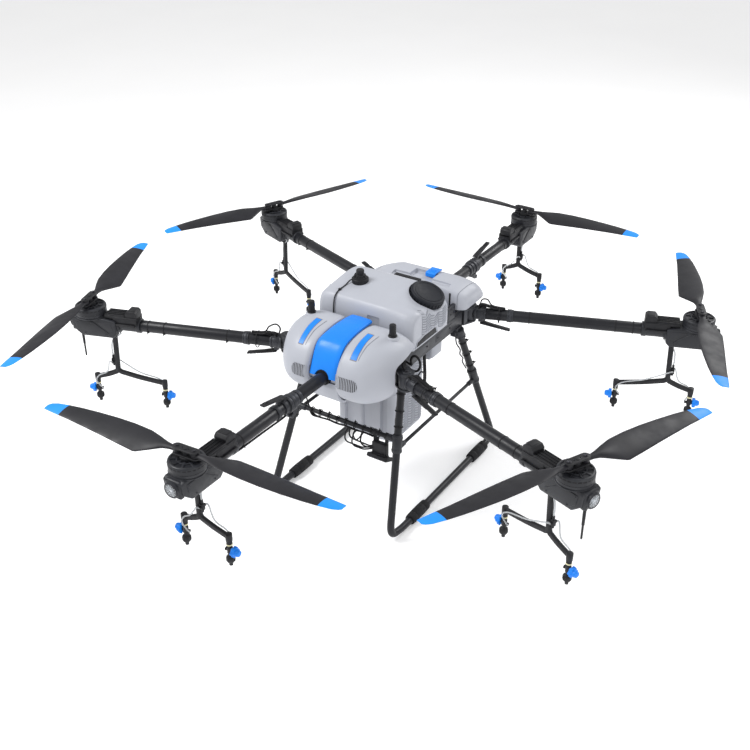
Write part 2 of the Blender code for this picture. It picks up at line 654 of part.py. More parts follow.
def main():
    clear_scene()
    make_frame()
    for side, sign in (("left", 1), ("right", -1)):
        make_landing_gear(f"landing_gear_{side}", sign)
        make_brace(f"side_brace_{side}", sign)
        make_antenna(f"antenna_{side}", sign)
    make_crossbar()
    make_radar()
    make_front_cover()
    make_center_strip()
    make_flight_controller()
    make_tank()
    make_tank_cap()
    make_level_sensor()
    make_pump()
    make_battery()
    make_battery_latch()
    for letter, (_, _, blade_a, blade_b, _, _) in ARMS.items():
        make_arm(letter)
        make_motor_mount(letter)
        hub_frame = make_rotor(letter)
        make_blade(letter, "a", blade_a, hub_frame)
        make_blade(letter, "b", blade_b, hub_frame)
        make_boom(letter)
        make_latch(letter)


main()
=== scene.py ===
"""Looks of a six-rotor agricultural spray drone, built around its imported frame.

Metres, +Z up. The nose points along -Y and the drone's left side along +X. Whatever belongs to an arm is
made in that arm's own frame: x outward from its fold joint, y to its left, z up from the tube's centre.
"""

import json
import math

import bmesh
import bpy
from mathutils import Matrix, Vector
from mathutils.bvhtree import BVHTree


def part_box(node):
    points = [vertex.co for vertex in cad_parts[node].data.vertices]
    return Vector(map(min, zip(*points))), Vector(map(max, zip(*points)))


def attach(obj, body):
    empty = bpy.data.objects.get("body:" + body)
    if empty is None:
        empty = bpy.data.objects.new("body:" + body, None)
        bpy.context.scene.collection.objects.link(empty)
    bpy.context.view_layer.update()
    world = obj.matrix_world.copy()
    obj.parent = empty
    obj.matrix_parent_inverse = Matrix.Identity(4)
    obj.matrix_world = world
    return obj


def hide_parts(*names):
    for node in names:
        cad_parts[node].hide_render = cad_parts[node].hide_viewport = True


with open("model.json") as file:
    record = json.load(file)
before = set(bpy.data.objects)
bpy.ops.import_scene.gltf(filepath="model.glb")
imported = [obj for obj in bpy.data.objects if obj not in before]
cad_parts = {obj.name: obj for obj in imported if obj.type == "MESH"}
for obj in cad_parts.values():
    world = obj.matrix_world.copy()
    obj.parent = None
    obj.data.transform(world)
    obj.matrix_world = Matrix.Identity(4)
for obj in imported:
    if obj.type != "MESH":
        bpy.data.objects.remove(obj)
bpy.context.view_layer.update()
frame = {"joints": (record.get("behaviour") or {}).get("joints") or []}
JOINTS = {joint["name"]: joint for joint in frame["joints"]}

X, Y, Z = Vector((1, 0, 0)), Vector((0, 1, 0)), Vector((0, 0, 1))
ARM_Z = JOINTS["arm_B_fold"]["pos_m"][2]
TUBE_R = 0.0225
# distance of a blade's pin from the motor's axis, and height of the blades over the tube's centre
PIN_OFFSET = 0.032
BLADE_Z = 0.092
# drop of the hinges on which the nose and tail arms fold, under the tube's centre
HINGE_DROP = 0.042
# blade headings a and b in degrees, spin sense, side of the tube that carries the latch
ARMS = {
    "A": (-176.0, 2.5, -1, 1),
    "B": (-116.0, 65.0, 1, -1),
    "C": (116.0, -65.0, -1, -1),
    "D": (176.0, -0.5, 1, 1),
    "E": (-113.0, 72.0, -1, 1),
    "F": (112.0, -75.0, 1, -1),
}


# ---------------------------------------------------------------- camera, lights, floor
def add_camera():
    heading, rise, distance = math.radians(32.71), math.radians(30.44), 3.465
    back = Vector((math.sin(heading) * math.cos(rise), -math.cos(heading) * math.cos(rise), math.sin(rise)))
    data = bpy.data.cameras.new("camera")
    data.lens = 50
    data.sensor_width = 36
    camera = bpy.data.objects.new("camera", data)
    camera.location = Vector((0.231, -0.474, 0.729)) + back * distance
    camera.rotation_euler = back.to_track_quat("Z", "Y").to_euler()
    bpy.context.scene.collection.objects.link(camera)
    bpy.context.scene.camera = camera


def add_light(name, place, size, power):
    data = bpy.data.lights.new(name, "AREA")
    data.shape = "DISK"
    data.size = size
    data.energy = power
    light = bpy.data.objects.new(name, data)
    light.location = place
    light.rotation_euler = (Vector(place) - Vector((0, 0, 0.5))).to_track_quat("Z", "Y").to_euler()
    bpy.context.scene.collection.objects.link(light)


def add_studio():
    bpy.context.scene.view_settings.view_transform = "Standard"
    world = bpy.data.worlds.new("studio")
    world.use_nodes = True
    world.node_tree.nodes["Background"].inputs["Color"].default_value = (1.0, 1.0, 1.0, 1.0)
    world.node_tree.nodes["Background"].inputs["Strength"].default_value = 0.62
    bpy.context.scene.world = world
    add_light("key", (-2.6, -2.2, 4.4), 2.2, 190)
    add_light("fill", (3.8, -1.6, 2.4), 2.6, 45)
    add_light("rim", (1.5, 4.2, 3.6), 2.4, 110)
    mesh = bmesh.new()
    bmesh.ops.create_circle(mesh, cap_ends=True, segments=96, radius=14)
    data = bpy.data.meshes.new("floor")
    mesh.to_mesh(data)
    mesh.free()
    floor = bpy.data.objects.new("floor", data)
    floor.location.z = -0.001
    data.materials.append(MATERIALS["floor"])
    bpy.context.scene.collection.objects.link(floor)


# ---------------------------------------------------------------- materials
class Look:
    """A Principled material that is built up from noise, wave and ramp nodes."""

    def __init__(self, name, colour, roughness, metallic=0.0, **sockets):
        self.made = bpy.data.materials.new(name)
        self.made.use_nodes = True
        self.tree = self.made.node_tree
        self.shader = self.tree.nodes["Principled BSDF"]
        self.colour = colour
        self.set("Base Color", (*colour, 1.0))
        self.set("Roughness", roughness)
        self.set("Metallic", metallic)
        for socket, value in sockets.items():
            self.set(socket.replace("_", " "), value)
        self.coords = self.tree.nodes.new("ShaderNodeTexCoord")
        self.made.diffuse_color = (*colour, 1.0)
        self.normal = None

    def set(self, socket, value):
        self.shader.inputs[socket].default_value = value

    def noise(self, scale, detail=3.0, stretch=None):
        node = self.tree.nodes.new("ShaderNodeTexNoise")
        node.inputs["Scale"].default_value = scale
        node.inputs["Detail"].default_value = detail
        source = self.coords.outputs["Object"]
        if stretch:
            mapping = self.tree.nodes.new("ShaderNodeMapping")
            mapping.inputs["Scale"].default_value = stretch
            self.tree.links.new(source, mapping.inputs["Vector"])
            source = mapping.outputs["Vector"]
        self.tree.links.new(source, node.inputs["Vector"])
        return node.outputs["Fac"]

    def bands(self, scale, turn):
        """Slanting bands across a tube's unrolled surface."""
        mapping = self.tree.nodes.new("ShaderNodeMapping")
        mapping.inputs["Rotation"].default_value = (0, 0, turn)
        wave = self.tree.nodes.new("ShaderNodeTexWave")
        wave.inputs["Scale"].default_value = scale
        self.tree.links.new(self.coords.outputs["UV"], mapping.inputs["Vector"])
        self.tree.links.new(mapping.outputs["Vector"], wave.inputs["Vector"])
        return wave.outputs["Fac"]

    def ramp(self, factor, low, high, start=0.3, end=0.7):
        node = self.tree.nodes.new("ShaderNodeValToRGB")
        node.color_ramp.elements[0].position = start
        node.color_ramp.elements[1].position = end
        node.color_ramp.elements[0].color = (*low, 1.0)
        node.color_ramp.elements[1].color = (*high, 1.0)
        self.tree.links.new(factor, node.inputs["Fac"])
        return node.outputs["Color"]

    def mottle(self, scale, amount):
        low = [c * (1 - amount) for c in self.colour]
        high = [min(1.0, c * (1 + amount)) for c in self.colour]
        colour = self.ramp(self.noise(scale, 4.0), low, high)
        self.tree.links.new(colour, self.shader.inputs["Base Color"])
        return self

    def gloss(self, scale, low, high, stretch=None):
        node = self.tree.nodes.new("ShaderNodeMapRange")
        node.inputs["From Min"].default_value = 0.35
        node.inputs["From Max"].default_value = 0.65
        node.inputs["To Min"].default_value = low
        node.inputs["To Max"].default_value = high
        self.tree.links.new(self.noise(scale, 3.0, stretch), node.inputs["Value"])
        self.tree.links.new(node.outputs["Result"], self.shader.inputs["Roughness"])
        return self

    def bump(self, factor, strength, distance):
        node = self.tree.nodes.new("ShaderNodeBump")
        node.inputs["Strength"].default_value = strength
        node.inputs["Distance"].default_value = distance
        self.tree.links.new(factor, node.inputs["Height"])
        if self.normal:
            self.tree.links.new(self.normal, node.inputs["Normal"])
        self.normal = node.outputs["Normal"]
        self.tree.links.new(self.normal, self.shader.inputs["Normal"])
        return self

    def lightened_edges(self, colour, start, end):
        """Lighter colour on convex edges, found from the surface's own curvature."""
        geometry = self.tree.nodes.new("ShaderNodeNewGeometry")
        mask = self.ramp(geometry.outputs["Pointiness"], (0, 0, 0), (1, 1, 1), start, end)
        mix = self.tree.nodes.new("ShaderNodeMix")
        mix.data_type = "RGBA"
        base = self.shader.inputs["Base Color"]
        if base.links:
            self.tree.links.new(base.links[0].from_socket, mix.inputs["A"])
        else:
            mix.inputs["A"].default_value = base.default_value
        mix.inputs["B"].default_value = (*colour, 1.0)
        self.tree.links.new(mask, mix.inputs["Factor"])
        self.tree.links.new(mix.outputs["Result"], base)
        return self


def carbon_look():
    look = Look("carbon_tube", (0.014, 0.0148, 0.0185), 0.42, Coat_Weight=0.08, Coat_Roughness=0.3)
    look.set("Specular IOR Level", 0.26)
    weave = look.tree.nodes.new("ShaderNodeMath")
    weave.operation = "MULTIPLY"
    look.tree.links.new(look.bands(130, math.radians(45)), weave.inputs[0])
    look.tree.links.new(look.bands(130, math.radians(-45)), weave.inputs[1])
    colour = look.ramp(weave.outputs["Value"], (0.0085, 0.009, 0.0115), (0.0185, 0.0195, 0.0245), 0.1, 0.7)
    look.tree.links.new(colour, look.shader.inputs["Base Color"])
    look.gloss(30, 0.34, 0.46)
    return look.bump(weave.outputs["Value"], 0.12, 0.0004)


def dark(name, colour, roughness, reflection=0.3, metallic=0.0):
    """Look for a dark part, whose soft reflection is kept weak."""
    look = Look(name, colour, roughness, metallic)
    look.set("Specular IOR Level", reflection)
    return look


def make_materials():
    black = dark("black_plastic", (0.0105, 0.0108, 0.0132), 0.5).mottle(40, 0.2).gloss(55, 0.42, 0.58)
    black.bump(black.noise(900, 2.0), 0.18, 0.0003)
    cap = dark("cap_plastic", (0.0135, 0.0150, 0.0200), 0.50, 0.20).mottle(30, 0.1).gloss(60, 0.50, 0.60)
    cap.bump(cap.noise(900, 2.0), 0.12, 0.0003)
    satin = dark("dark_housing", (0.0150, 0.0160, 0.0200), 0.42, 0.34).mottle(30, 0.14).gloss(60, 0.34, 0.48)
    satin.bump(satin.noise(1100, 2.0), 0.12, 0.0003)
    # lighter colour on the housing's convex edges
    satin.lightened_edges((0.040, 0.042, 0.050), 0.53, 0.62)
    metal = dark("dark_anodised", (0.024, 0.0255, 0.031), 0.42, 0.4, 0.3).mottle(22, 0.16)
    metal.gloss(140, 0.34, 0.5, (1, 1, 12))
    metal.bump(metal.noise(700, 2.0), 0.1, 0.0002)
    # lighter colour on the metal's convex edges
    metal.lightened_edges((0.065, 0.068, 0.078), 0.53, 0.62)
    shell = Look("grey_shell", (0.400, 0.415, 0.462), 0.42).mottle(7, 0.025).gloss(18, 0.36, 0.48)
    shell.set("Specular IOR Level", 0.4)
    shell.bump(shell.noise(650, 3.0), 0.09, 0.0004)
    shell.bump(shell.noise(11, 2.0), 0.05, 0.002)
    blue = Look("blue_plastic", (0.010, 0.215, 0.80), 0.36).mottle(12, 0.05).gloss(25, 0.3, 0.42)
    blue.set("Specular IOR Level", 0.3)
    blue.bump(blue.noise(800, 2.0), 0.08, 0.0003)
    blade = dark("blade_black", (0.0120, 0.0120, 0.0155), 0.46, 0.3).mottle(16, 0.2).gloss(20, 0.40, 0.56)
    blade.bump(blade.noise(1000, 2.0), 0.15, 0.0003)
    tip = Look("blade_tip_blue", (0.012, 0.260, 0.90), 0.42).mottle(20, 0.05).gloss(20, 0.38, 0.5)
    tip.set("Specular IOR Level", 0.3)
    tip.bump(tip.noise(900, 2.0), 0.1, 0.0003)
    rubber = dark("rubber", (0.0090, 0.0090, 0.0108), 0.72).mottle(60, 0.2).gloss(80, 0.62, 0.8)
    rubber.bump(rubber.noise(500, 4.0), 0.3, 0.0005)
    chrome = Look("lamp_chrome", (0.55, 0.56, 0.58), 0.14, 1.0).mottle(80, 0.2).gloss(120, 0.08, 0.2)
    lens = Look("lamp_lens", (0.80, 0.83, 0.86), 0.05, Transmission_Weight=0.92, IOR=1.45).mottle(60, 0.03)
    hose = Look("clear_hose", (0.62, 0.64, 0.66), 0.2, Transmission_Weight=0.45, IOR=1.4).mottle(70, 0.06)
    ring = Look("pale_seal", (0.72, 0.68, 0.42), 0.5).mottle(90, 0.06).gloss(90, 0.42, 0.58)
    # vent_shadow is painted shade: a flat dark grey laid on the lobes where the vent openings would be in
    # shade
    vent = dark("vent_shadow", (0.088, 0.090, 0.100), 0.6).mottle(90, 0.1)
    steel = Look("bolt_steel", (0.05, 0.05, 0.058), 0.38, 0.8).mottle(200, 0.2).gloss(300, 0.28, 0.48)
    # painted shade: a darker copy of the shell grey, laid in the slit, furrow and seam lines where shade
    # falls
    groove = Look("shell_recess_shade", (0.18, 0.19, 0.22), 0.5).mottle(90, 0.1)
    floor = Look("pale_floor", (0.95, 0.95, 0.955), 0.8).mottle(1.5, 0.01).gloss(9, 0.75, 0.85)
    floor.set("Specular IOR Level", 0.1)
    floor.set("Emission Color", (1.0, 1.0, 1.0, 1.0))
    floor.set("Emission Strength", 0.22)
    looks = dict(
        carbon=carbon_look(), black=black, satin=satin, metal=metal, shell=shell, blue=blue, blade=blade
    )
    looks.update(
        tip=tip, rubber=rubber, chrome=chrome, lens=lens, hose=hose, ring=ring, vent=vent, steel=steel
    )
    looks.update(groove=groove, cap=cap, floor=floor)
    return {name: look.made for name, look in looks.items()}


MATERIALS = make_materials()
SLOTS = dict(carbon="carbon", black="black_plastic", satin="black_plastic", metal="dark_metal", shell="shell")
SLOTS.update(blue="blue", blade="blade", rubber="black_plastic", chrome="clamp_metal", lens="clamp_metal")
SLOTS.update(
    hose="black_plastic", ring="shell", vent="shell",
    steel="clamp_metal", groove="shell", cap="black_plastic"
)


# ---------------------------------------------------------------- curves and solids
def spline(points, steps=6, closed=False):
    """Smooth curve through the points."""
    points = [Vector(p) for p in points]
    count = len(points)
    spans = count if closed else count - 1
    result = []
    for i in range(spans):
        p1, p2 = points[i], points[(i + 1) % count]
        p0 = points[i - 1] if closed or i else p1
        p3 = points[(i + 2) % count] if closed or i + 2 < count else p2
        for k in range(steps):
            t = k / steps
            bend = (p2 - p0) * t + (p0 * 2 - p1 * 5 + p2 * 4 - p3) * t ** 2
            result.append(p1 + (bend + (p1 * 3 - p0 - p2 * 3 + p3) * t ** 3) * 0.5)
    if not closed:
        result.append(points[-1])
    return result


def side_axes(direction):
    up = Z if abs(direction.z) < 0.9 else X
    side = direction.cross(up).normalized()
    return side, side.cross(direction).normalized()


def rounded_box_ring(centre, side, up, half_side, half_up, radius, steps=4):
    """Rectangle with round corners, as a ring of points."""
    radius = min(radius, half_side * 0.98, half_up * 0.98)
    ring = []
    for a, b, start in ((1, 1, 0), (-1, 1, 90), (-1, -1, 180), (1, -1, 270)):
        for k in range(steps + 1):
            angle = math.radians(start + 90 * k / steps)
            across = a * (half_side - radius) + radius * math.cos(angle)
            rise = b * (half_up - radius) + radius * math.sin(angle)
            ring.append(centre + side * across + up * rise)
    return ring


class Shape:
    """Closed solids gathered in one mesh. Points are given in the frame of a matrix."""

    def __init__(self, matrix=None):
        self.matrix = matrix or Matrix()
        self.mesh = bmesh.new()
        self.mesh.loops.layers.uv.new("UVMap")

    def take(self, part):
        """Moves a finished part into the shape."""
        bmesh.ops.recalc_face_normals(part, faces=part.faces)
        part.transform(self.matrix)
        data = bpy.data.meshes.new("part")
        part.to_mesh(data)
        part.free()
        self.mesh.from_mesh(data)
        bpy.data.meshes.remove(data)

    def skin(self, rings, loop=False):
        """Solid through rings of equal point counts, capped at its ends unless it is a loop."""
        part = bmesh.new()
        uv = part.loops.layers.uv.new("UVMap")
        rows = [[part.verts.new(point) for point in ring] for ring in rings]
        count = len(rings[0])
        girth = sum((rings[0][i] - rings[0][i - 1]).length for i in range(count))
        reach = 0.0
        pairs = list(zip(rows, rows[1:] + rows[:1])) if loop else list(zip(rows, rows[1:]))
        for low, high in pairs:
            step = (high[0].co - low[0].co).length
            for i in range(count):
                j = (i + 1) % count
                face = part.faces.new((low[i], low[j], high[j], high[i]))
                places = ((i, 0), (i + 1, 0), (i + 1, step), (i, step))
                for corner, (around, along) in zip(face.loops, places):
                    corner[uv].uv = (girth * around / count, reach + along)
            reach += step
        if not loop:
            part.faces.new(rows[0][::-1])
            part.faces.new(rows[-1])
        self.take(part)

    def turned(self, start, direction, profile, count=36):
        """Solid of revolution; the profile gives (distance along, radius) pairs."""
        start, direction = Vector(start), Vector(direction).normalized()
        side, up = side_axes(direction)
        rings = []
        for along, radius in profile:
            centre = start + direction * along
            ring = []
            for i in range(count):
                angle = 2 * math.pi * i / count
                ring.append(centre + (side * math.cos(angle) + up * math.sin(angle)) * max(radius, 0.00002))
            rings.append(ring)
        self.skin(rings)

    def rod(self, start, end, radius, soft=0.001, count=36):
        """Round bar with softened ends."""
        length = (Vector(end) - Vector(start)).length
        soft = min(soft, length * 0.4, radius * 0.4)
        profile = [
            (0, radius - soft), (soft * 0.3, radius - soft * 0.3), (soft, radius),
            (length - soft, radius), (length - soft * 0.3, radius - soft * 0.3), (length, radius - soft)
        ]
        self.turned(start, Vector(end) - Vector(start), profile, count)

    def ring(self, centre, direction, inner, outer, width, count=36):
        """Flat washer or band round an axis."""
        centre, direction = Vector(centre), Vector(direction).normalized()
        side, up = side_axes(direction)
        soft = min(0.0008, width * 0.3, (outer - inner) * 0.3)
        half = width / 2
        section = [
            (inner, -half), (outer - soft, -half), (outer, soft - half),
            (outer, half - soft), (outer - soft, half), (inner, half)
        ]
        rings = []
        for i in range(count):
            angle = 2 * math.pi * i / count
            spoke = side * math.cos(angle) + up * math.sin(angle)
            rings.append([centre + spoke * radius + direction * along for radius, along in section])
        self.skin(rings, loop=True)

    def bevelled(self, part, soft):
        sharp = [e for e in part.edges if len(e.link_faces) == 2 and e.calc_face_angle() > math.radians(20)]
        if soft:
            bmesh.ops.bevel(part, geom=sharp, offset=soft, segments=3, profile=0.5, affect="EDGES")
        self.take(part)

    def box(self, low, high, soft=0.0015, turn=None):
        part = bmesh.new()
        bmesh.ops.create_cube(part, size=1.0)
        for vert in part.verts:
            vert.co = Vector([low[i] + (vert.co[i] + 0.5) * (high[i] - low[i]) for i in range(3)])
        if turn:
            part.transform(turn)
        self.bevelled(part, soft)

    def side_box(self, sign, near, far, soft=0.0015):
        """Box between two corners given for the left side; sign -1 puts it on the right."""
        low, high = sorted((sign * near[0], sign * far[0]))
        self.box((low, *near[1:]), (high, *far[1:]), soft)

    def plate(self, outline, axis, low, high, soft=0.001):
        """Outline of (a, b) pairs, extruded along axis 0 (pairs are y, z), 1 (x, z) or 2 (x, y)."""
        part = bmesh.new()
        rows = []
        for value in (low, high):
            row = []
            for pair in outline:
                coords = list(pair)
                coords.insert(axis, value)
                row.append(part.verts.new(coords))
            rows.append(row)
        for i in range(len(outline)):
            j = (i + 1) % len(outline)
            part.faces.new((rows[0][i], rows[0][j], rows[1][j], rows[1][i]))
        part.faces.new(rows[0][::-1])
        part.faces.new(rows[1])
        bmesh.ops.recalc_face_normals(part, faces=part.faces)
        self.bevelled(part, soft)

    def cord(self, points, radius, count=10, steps=6):
        """Round cable, hose or bent tube along a smooth curve through the points."""
        path = spline(points, steps) if steps > 1 else [Vector(p) for p in points]
        side, _ = side_axes((path[1] - path[0]).normalized())
        rings = []
        for i, point in enumerate(path):
            ahead = (path[min(i + 1, len(path) - 1)] - path[max(i - 1, 0)]).normalized()
            side = (side - ahead * side.dot(ahead)).normalized()
            up = ahead.cross(side)
            size = radius[i] if isinstance(radius, list) else radius
            turns = [2 * math.pi * k / count for k in range(count)]
            rings.append([point + side * (size * math.cos(a)) + up * (size * math.sin(a)) for a in turns])
        self.skin(rings)

    def conduit(self, points, radius, pitch=0.0042, count=14):
        """Corrugated cable sleeve."""
        path = spline(points, 16)
        reach = [0.0]
        for a, b in zip(path, path[1:]):
            reach.append(reach[-1] + (b - a).length)
        total = max(2, round(reach[-1] / pitch * 4))
        fine, radii = [], []
        k = 0
        for i in range(total + 1):
            along = reach[-1] * i / total
            while k < len(path) - 2 and reach[k + 1] < along:
                k += 1
            t = (along - reach[k]) / max(reach[k + 1] - reach[k], 1e-9)
            fine.append(path[k].lerp(path[k + 1], t))
            radii.append(radius * (1.0 if i % 4 < 2 else 0.80))
        self.cord(fine, radii, count, 1)

    def bolt(self, place, direction, radius=0.004, height=0.003):
        """Socket-head screw: washer, head with a hexagon recess."""
        place, direction = Vector(place), Vector(direction).normalized()
        self.turned(
            place, direction, [(-0.001, radius * 1.35), (0.0006, radius * 1.35), (0.0007, radius * 1.3)], 18
        )
        profile = [
            (0.0, radius), (height * 0.8, radius), (height, radius * 0.85),
            (height, radius * 0.5), (height * 0.45, radius * 0.48)
        ]
        self.turned(place, direction, profile, 18)

    def tie(self, centre, direction, radius, head):
        """Cable tie with its square lock and the cut end of its strap."""
        self.ring(centre, direction, radius - 0.0005, radius + 0.0012, 0.0038, 24)
        direction = Vector(direction).normalized()
        head = (head - direction * head.dot(direction)).normalized()
        frame_at = Matrix((direction, head, direction.cross(head))).transposed().to_4x4()
        frame_at.translation = Vector(centre) + head * radius
        self.box((-0.0032, -0.001, -0.0035), (0.0032, 0.0045, 0.0035), 0.0008, frame_at)
        self.box((-0.0014, 0.003, -0.0008), (0.0014, 0.0105, 0.0008), 0.0004, frame_at)

    def cut(self, tool):
        """Takes another shape's solid away from this one."""
        objects = []
        for source in (self, tool):
            data = bpy.data.meshes.new("cut")
            source.mesh.to_mesh(data)
            obj = bpy.data.objects.new("cut", data)
            bpy.context.scene.collection.objects.link(obj)
            objects.append(obj)
        modifier = objects[0].modifiers.new("cut", "BOOLEAN")
        modifier.operation = "DIFFERENCE"
        modifier.solver = "EXACT"
        modifier.object = objects[1]
        graph = bpy.context.evaluated_depsgraph_get()
        data = bpy.data.meshes.new_from_object(objects[0].evaluated_get(graph))
        self.mesh.free()
        tool.mesh.free()
        self.mesh = bmesh.new()
        self.mesh.from_mesh(data)
        for obj in objects:
            bpy.data.objects.remove(obj, do_unlink=True)
        return self

    def finish(self, name, look, body, replaces=(), sharp=38):
        data = bpy.data.meshes.new(name)
        self.mesh.to_mesh(data)
        self.mesh.free()
        looks = look if isinstance(look, (list, tuple)) else [look]
        for one in looks:
            data.materials.append(MATERIALS[one])
        data.shade_smooth()
        data.set_sharp_from_angle(angle=math.radians(sharp))
        obj = bpy.data.objects.new(name, data)
        bpy.context.scene.collection.objects.link(obj)
        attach(obj, body)
        if replaces:
            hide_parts(*replaces)
        return obj


# ---------------------------------------------------------------- arms
def arm_frame(letter):
    """Matrix of an arm's own frame, and the distance from its fold joint to the motor's axis."""
    joint = Vector(JOINTS[f"arm_{letter}_fold"]["pos_m"])
    joint.z = ARM_Z
    hub = Vector(JOINTS[f"rotor_{letter}_spin"]["pos_m"])
    hub.z = ARM_Z
    reach = hub - joint
    turn = Matrix.Rotation(math.atan2(reach.y, reach.x), 4, "Z")
    return Matrix.Translation(joint) @ turn, reach.length


def folds_down(letter):
    return letter in "AD"


def make_arm_tube(letter):
    matrix, length = arm_frame(letter)
    tube = Shape(matrix)
    tube.rod((0.012, 0, 0), (length - 0.035, 0, 0), TUBE_R, 0.001, 56)
    tube.finish(f"tube_{letter}", "carbon", f"arm_{letter}", [f"arm_tube_{letter}"])


def flange(shape, x, radius, width, bolts=0):
    """Clamping collar round the tube, with softened rims and optional face screws."""
    soft = min(0.0015, width * 0.2)
    profile = [
        (0, TUBE_R), (0, radius - soft), (soft * 0.3, radius - soft * 0.3),
        (soft, radius), (width - soft, radius), (width - soft * 0.3, radius - soft * 0.3),
        (width, radius - soft), (width, TUBE_R)
    ]
    shape.turned((x, 0, 0), X, profile, 48)
    for i in range(bolts):
        angle = 2 * math.pi * (i + 0.5) / bolts
        spoke = Vector((0, math.cos(angle), math.sin(angle)))
        place = Vector((x + width, 0, 0)) + spoke * (radius - 0.0045)
        shape.bolt(place, X, 0.0022, 0.0018)


def make_arm_joint(letter):
    """Fold joint, collars and latch bracket of an arm."""
    matrix, _ = arm_frame(letter)
    side = ARMS[letter][3]
    fitting = Shape(matrix)
    if folds_down(letter):
        flange(fitting, 0.0007, 0.031, 0.0148, 6)
        flange(fitting, 0.0155, 0.0262, 0.022)
        flange(fitting, 0.060, 0.0258, 0.018)
        fitting.rod((0, -0.011, -HINGE_DROP), (0, 0.011, -HINGE_DROP), 0.0086, 0.001, 28)
        fitting.plate(
            [(0.0015, -0.046), (0.0015, -0.020), (0.026, -0.020), (0.010, -0.046)], 1, -0.0108, 0.0108
        )
        bracket = [(0.006, 0.020), (0.008, 0.0342), (0.012, 0.0342), (0.030, 0.030), (0.034, 0.020)]
        fitting.plate(bracket, 1, -0.009, 0.009)
        fitting.bolt((0.048, 0, TUBE_R + 0.001), Z, 0.003, 0.0025)
    else:
        fitting.rod((0, 0, -0.0242), (0, 0, 0.0242), 0.027, 0.0015, 44)
        flange(fitting, 0.020, 0.0275, 0.010)
        flange(fitting, 0.029, 0.0252, 0.036)
        flange(fitting, 0.058, 0.0272, 0.008, 6)
        flange(fitting, 0.150, 0.0262, 0.004)
        flange(fitting, 0.155, 0.0256, 0.012)
        flange(fitting, 0.1675, 0.0248, 0.005)
        low, high = sorted((side * 0.018, side * 0.0342))
        fitting.box((0.038, -0.009, low), (0.056, 0.009, high), 0.0015)
        for y in (-0.012, 0.012):
            fitting.box((0.012, y - 0.004, -0.020), (0.060, y + 0.004, 0.0262), 0.0015)
        for x in (0.030, 0.046):
            fitting.bolt((x, 0.012, 0.0262), Z, 0.0026, 0.002)
            fitting.bolt((x, -0.012, 0.0262), Z, 0.0026, 0.002)
    fitting.finish(f"fold_fitting_{letter}", "metal", f"arm_{letter}")


def make_arm_wiring(letter):
    """Power leads: one along the tube on the nose and tail arms, a sleeve and loops on the others."""
    matrix, length = arm_frame(letter)
    wires = Shape(matrix)
    side = -ARMS[letter][3]
    if folds_down(letter):
        route = [
            (0.030, 0.012, -0.028), (0.070, 0.014, -0.0265),
            (0.14, 0.013, -0.0255), (length - 0.24, 0.012, -0.025)
        ]
        wires.cord(route + [(length - 0.19, 0.008, -0.026)], 0.0036)
    else:
        route = [
            (0.039, 0.004, side * 0.0300), (0.052, 0.006, side * 0.0355),
            (0.078, 0.004, side * 0.0310), (0.105, 0.002, side * 0.0275), (0.140, 0.0, side * 0.0268)
        ]
        wires.conduit(route, 0.0072)
        loop = [
            (0.040, -0.012, side * 0.024), (0.038, -0.024, side * 0.042), (0.056, -0.030, side * 0.054),
            (0.080, -0.020, side * 0.046), (0.092, -0.010, side * 0.030), (0.130, -0.008, side * 0.0265)
        ]
        wires.cord(loop, 0.0030)
        loop = [
            (0.040, 0.014, side * 0.024), (0.046, 0.026, side * 0.046), (0.068, 0.022, side * 0.050),
            (0.088, 0.012, side * 0.032), (0.135, 0.010, side * 0.0262)
        ]
        wires.cord(loop, 0.0026)
        wires.tie((0.118, 0, 0), X, TUBE_R + 0.0085, Vector((0, 1, 0.4 * side)))
    for x in (0.235, length - 0.30, length - 0.235):
        if not (folds_down(letter) and x < 0.25):
            wires.tie((x, 0, 0), X, TUBE_R + 0.0002, Vector((0, 0.8, -0.6)))
    wires.finish(f"wiring_{letter}", "rubber", f"arm_{letter}")


def make_pod(letter):
    """Motor pod: bevelled housing, side panels, screws, and the face plate that carries the lamp."""
    matrix, length = arm_frame(letter)
    pod = Shape(matrix @ Matrix.Translation((length, 0, 0)))
    outline = [
        (-0.112, 0.022), (-0.112, -0.034), (-0.098, -0.048), (0.030, -0.048),
        (0.064, -0.018), (0.070, 0.024), (0.058, 0.031), (-0.060, 0.031)
    ]
    pod.plate(outline, 1, -0.0395, 0.0395, 0.005)
    pod.rod((0, 0, 0.026), (0, 0, 0.0346), 0.0575, 0.0015, 56)
    pod.ring((0, 0, 0.030), Z, 0.050, 0.0600, 0.004, 56)
    for sign in (-1, 1):
        panel = [
            (-0.084, -0.028), (-0.076, -0.040), (0.020, -0.040),
            (0.046, -0.016), (0.052, 0.018), (-0.020, 0.018)
        ]
        low, high = sorted((sign * 0.036, sign * 0.0418))
        pod.plate(panel, 1, low, high, 0.0018)
        low, high = sorted((sign * 0.036, sign * 0.0406))
        pod.plate(
            [(-0.100, -0.014), (-0.092, 0.016), (-0.036, 0.018), (-0.082, -0.020)], 1, low, high, 0.0012
        )
        for x, z in ((-0.070, -0.032), (0.014, -0.033), (0.043, 0.010), (-0.016, 0.011)):
            pod.bolt((x, sign * 0.0416, z), Y * sign, 0.0026, 0.0016)
    pod.box((0.052, -0.030, -0.032), (0.0715, 0.030, 0.030), 0.006)
    for y in (-0.024, 0.024):
        for z in (-0.025, 0.024):
            pod.bolt((0.0713, y, z), X, 0.0022, 0.0014)
    pod.rod((-0.204, 0, 0), (-0.186, 0, 0), 0.0285, 0.002, 48)
    pod.rod((-0.190, 0, 0), (-0.105, 0, 0), 0.0262, 0.001, 48)
    pod.rod((-0.120, 0, -0.004), (-0.098, 0, -0.004), 0.0300, 0.002, 48)
    pod.finish(f"pod_{letter}", "satin", f"arm_{letter}", [f"motor_mount_{letter}"])


